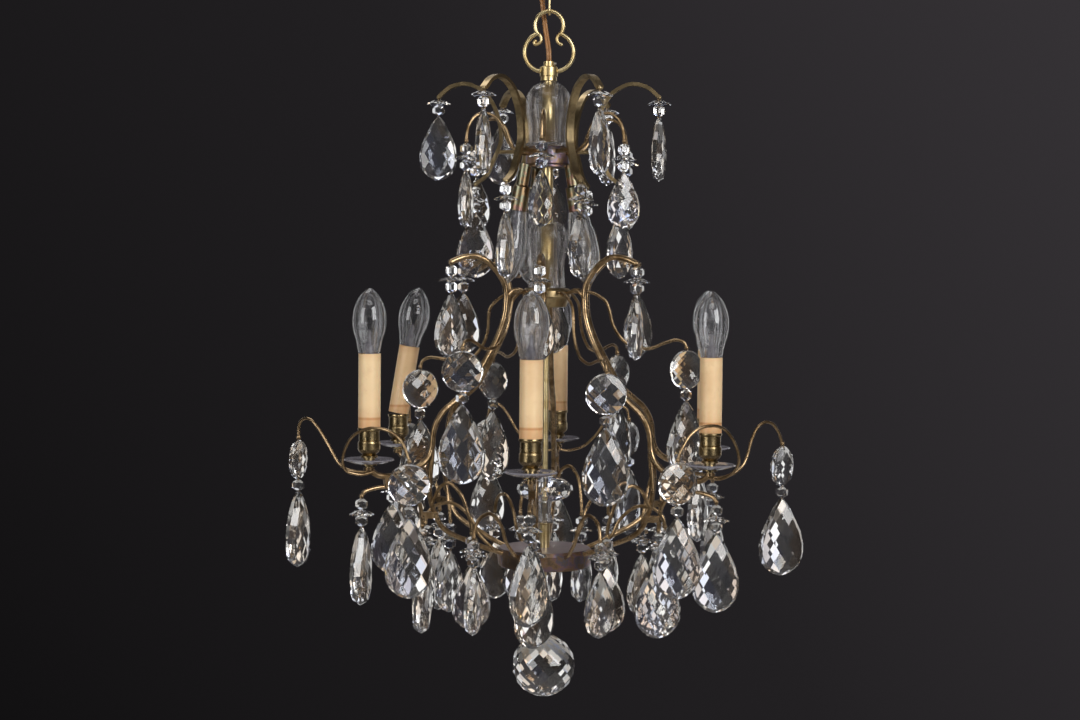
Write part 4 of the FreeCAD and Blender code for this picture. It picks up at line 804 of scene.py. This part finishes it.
# %% Lamps
def soft_box(name, place, target, width, height, radiance):
    """A rectangular area lamp that faces a target. The radiance is its brightness in a mirror."""
    data = bpy.data.lights.new(name, "AREA")
    data.shape = "RECTANGLE"
    data.size = width
    data.size_y = height
    data.energy = radiance * math.pi * width * height
    lamp = bpy.data.objects.new(name, data)
    bpy.context.collection.objects.link(lamp)
    lamp.location = place
    lamp.rotation_euler = (Vector(target) - Vector(place)).to_track_quat("-Z", "Y").to_euler()
    lamp.visible_camera = False
    return lamp


MIDDLE = (0, 0, -0.45)
# Place, width, height and radiance
SOFT_BOXES = {
    "key_box": ((1.5, -2.3, 0.5), 1.3, 1.7, 8.0),
    "fill_box": ((-1.9, -1.8, 0.1), 1.0, 1.6, 4.6),
    "top_box": ((-0.4, 0.7, 1.5), 1.6, 1.2, 2.0),
    "front_top_box": ((0, -1.7, 1.4), 1.6, 0.6, 3.0),
    "back_left_strip": ((-0.82, 1.6, -0.4), 0.22, 1.5, 1.0),
    "back_left_panel": ((-1.4, 1.5, -0.4), 0.45, 1.8, 0.6),
    "back_right_strip": ((0.78, 1.6, -0.4), 0.18, 1.6, 1.2),
    "back_right_panel": ((1.3, 1.5, -0.35), 0.45, 1.7, 0.8),
    "back_top_strip": ((0, 1.6, 0.62), 1.2, 0.3, 0.8),
    "back_low_strip": ((0, 1.5, -1.5), 1.3, 0.35, 0.5),
}
for name, (place, width, height, radiance) in SOFT_BOXES.items():
    soft_box(name, place, MIDDLE, width, height, radiance)
print(len(SOFT_BOXES), "soft boxes")

# %% [markdown]
# ## Floor and backdrop
# The photograph's backdrop is a dark grey, lighter at the upper right. The world has that grey. A ramp along
# one direction in space gives its fall, so it stays in place when the camera moves. A pale floor lies well
# below the lamp.

# %% Floor
FLOOR_DEPTH = -1.9
FLOOR_SIZE = 3.2
floor_shape = bmesh.new()
bmesh.ops.create_grid(floor_shape, x_segments=1, y_segments=1, size=FLOOR_SIZE)
floor_mesh = mesh_of(floor_shape, "floor")
floor_mesh.transform(Matrix.Translation((0, 0, FLOOR_DEPTH)))
floor = bpy.data.objects.new("floor", floor_mesh)
bpy.context.collection.objects.link(floor)
floor_material, _, floor_shader = new_material("pale_floor")
floor_shader.inputs["Base Color"].default_value = colour(206, 204, 200)
floor_shader.inputs["Roughness"].default_value = 0.8
floor_mesh.materials.append(floor_material)
print("floor", abs(FLOOR_DEPTH), "m below the ceiling")

# %% World
LIGHTER_WAY = (0.85, 0, 0.53)
FALL = (-0.36, 0.32)
BACKDROP = [(0, colour(17, 16, 17)), (0.53, colour(34, 32, 34)), (1, colour(54, 51, 54))]
world = bpy.data.worlds.new("dark_studio")
world.use_nodes = True
tree = world.node_tree
direction = put(tree, "ShaderNodeTexCoord")
across = put(tree, "ShaderNodeVectorMath", {1: LIGHTER_WAY}, operation="DOT_PRODUCT")
tree.links.new(direction.outputs["Generated"], across.inputs[0])
grey = ramped(tree, ranged(tree, across.outputs["Value"], 0, 1, *FALL), BACKDROP)
tree.links.new(grey, tree.nodes["Background"].inputs["Color"])
bpy.context.scene.world = world
bpy.context.scene.view_settings.view_transform = "Standard"
print("world:", world.name)
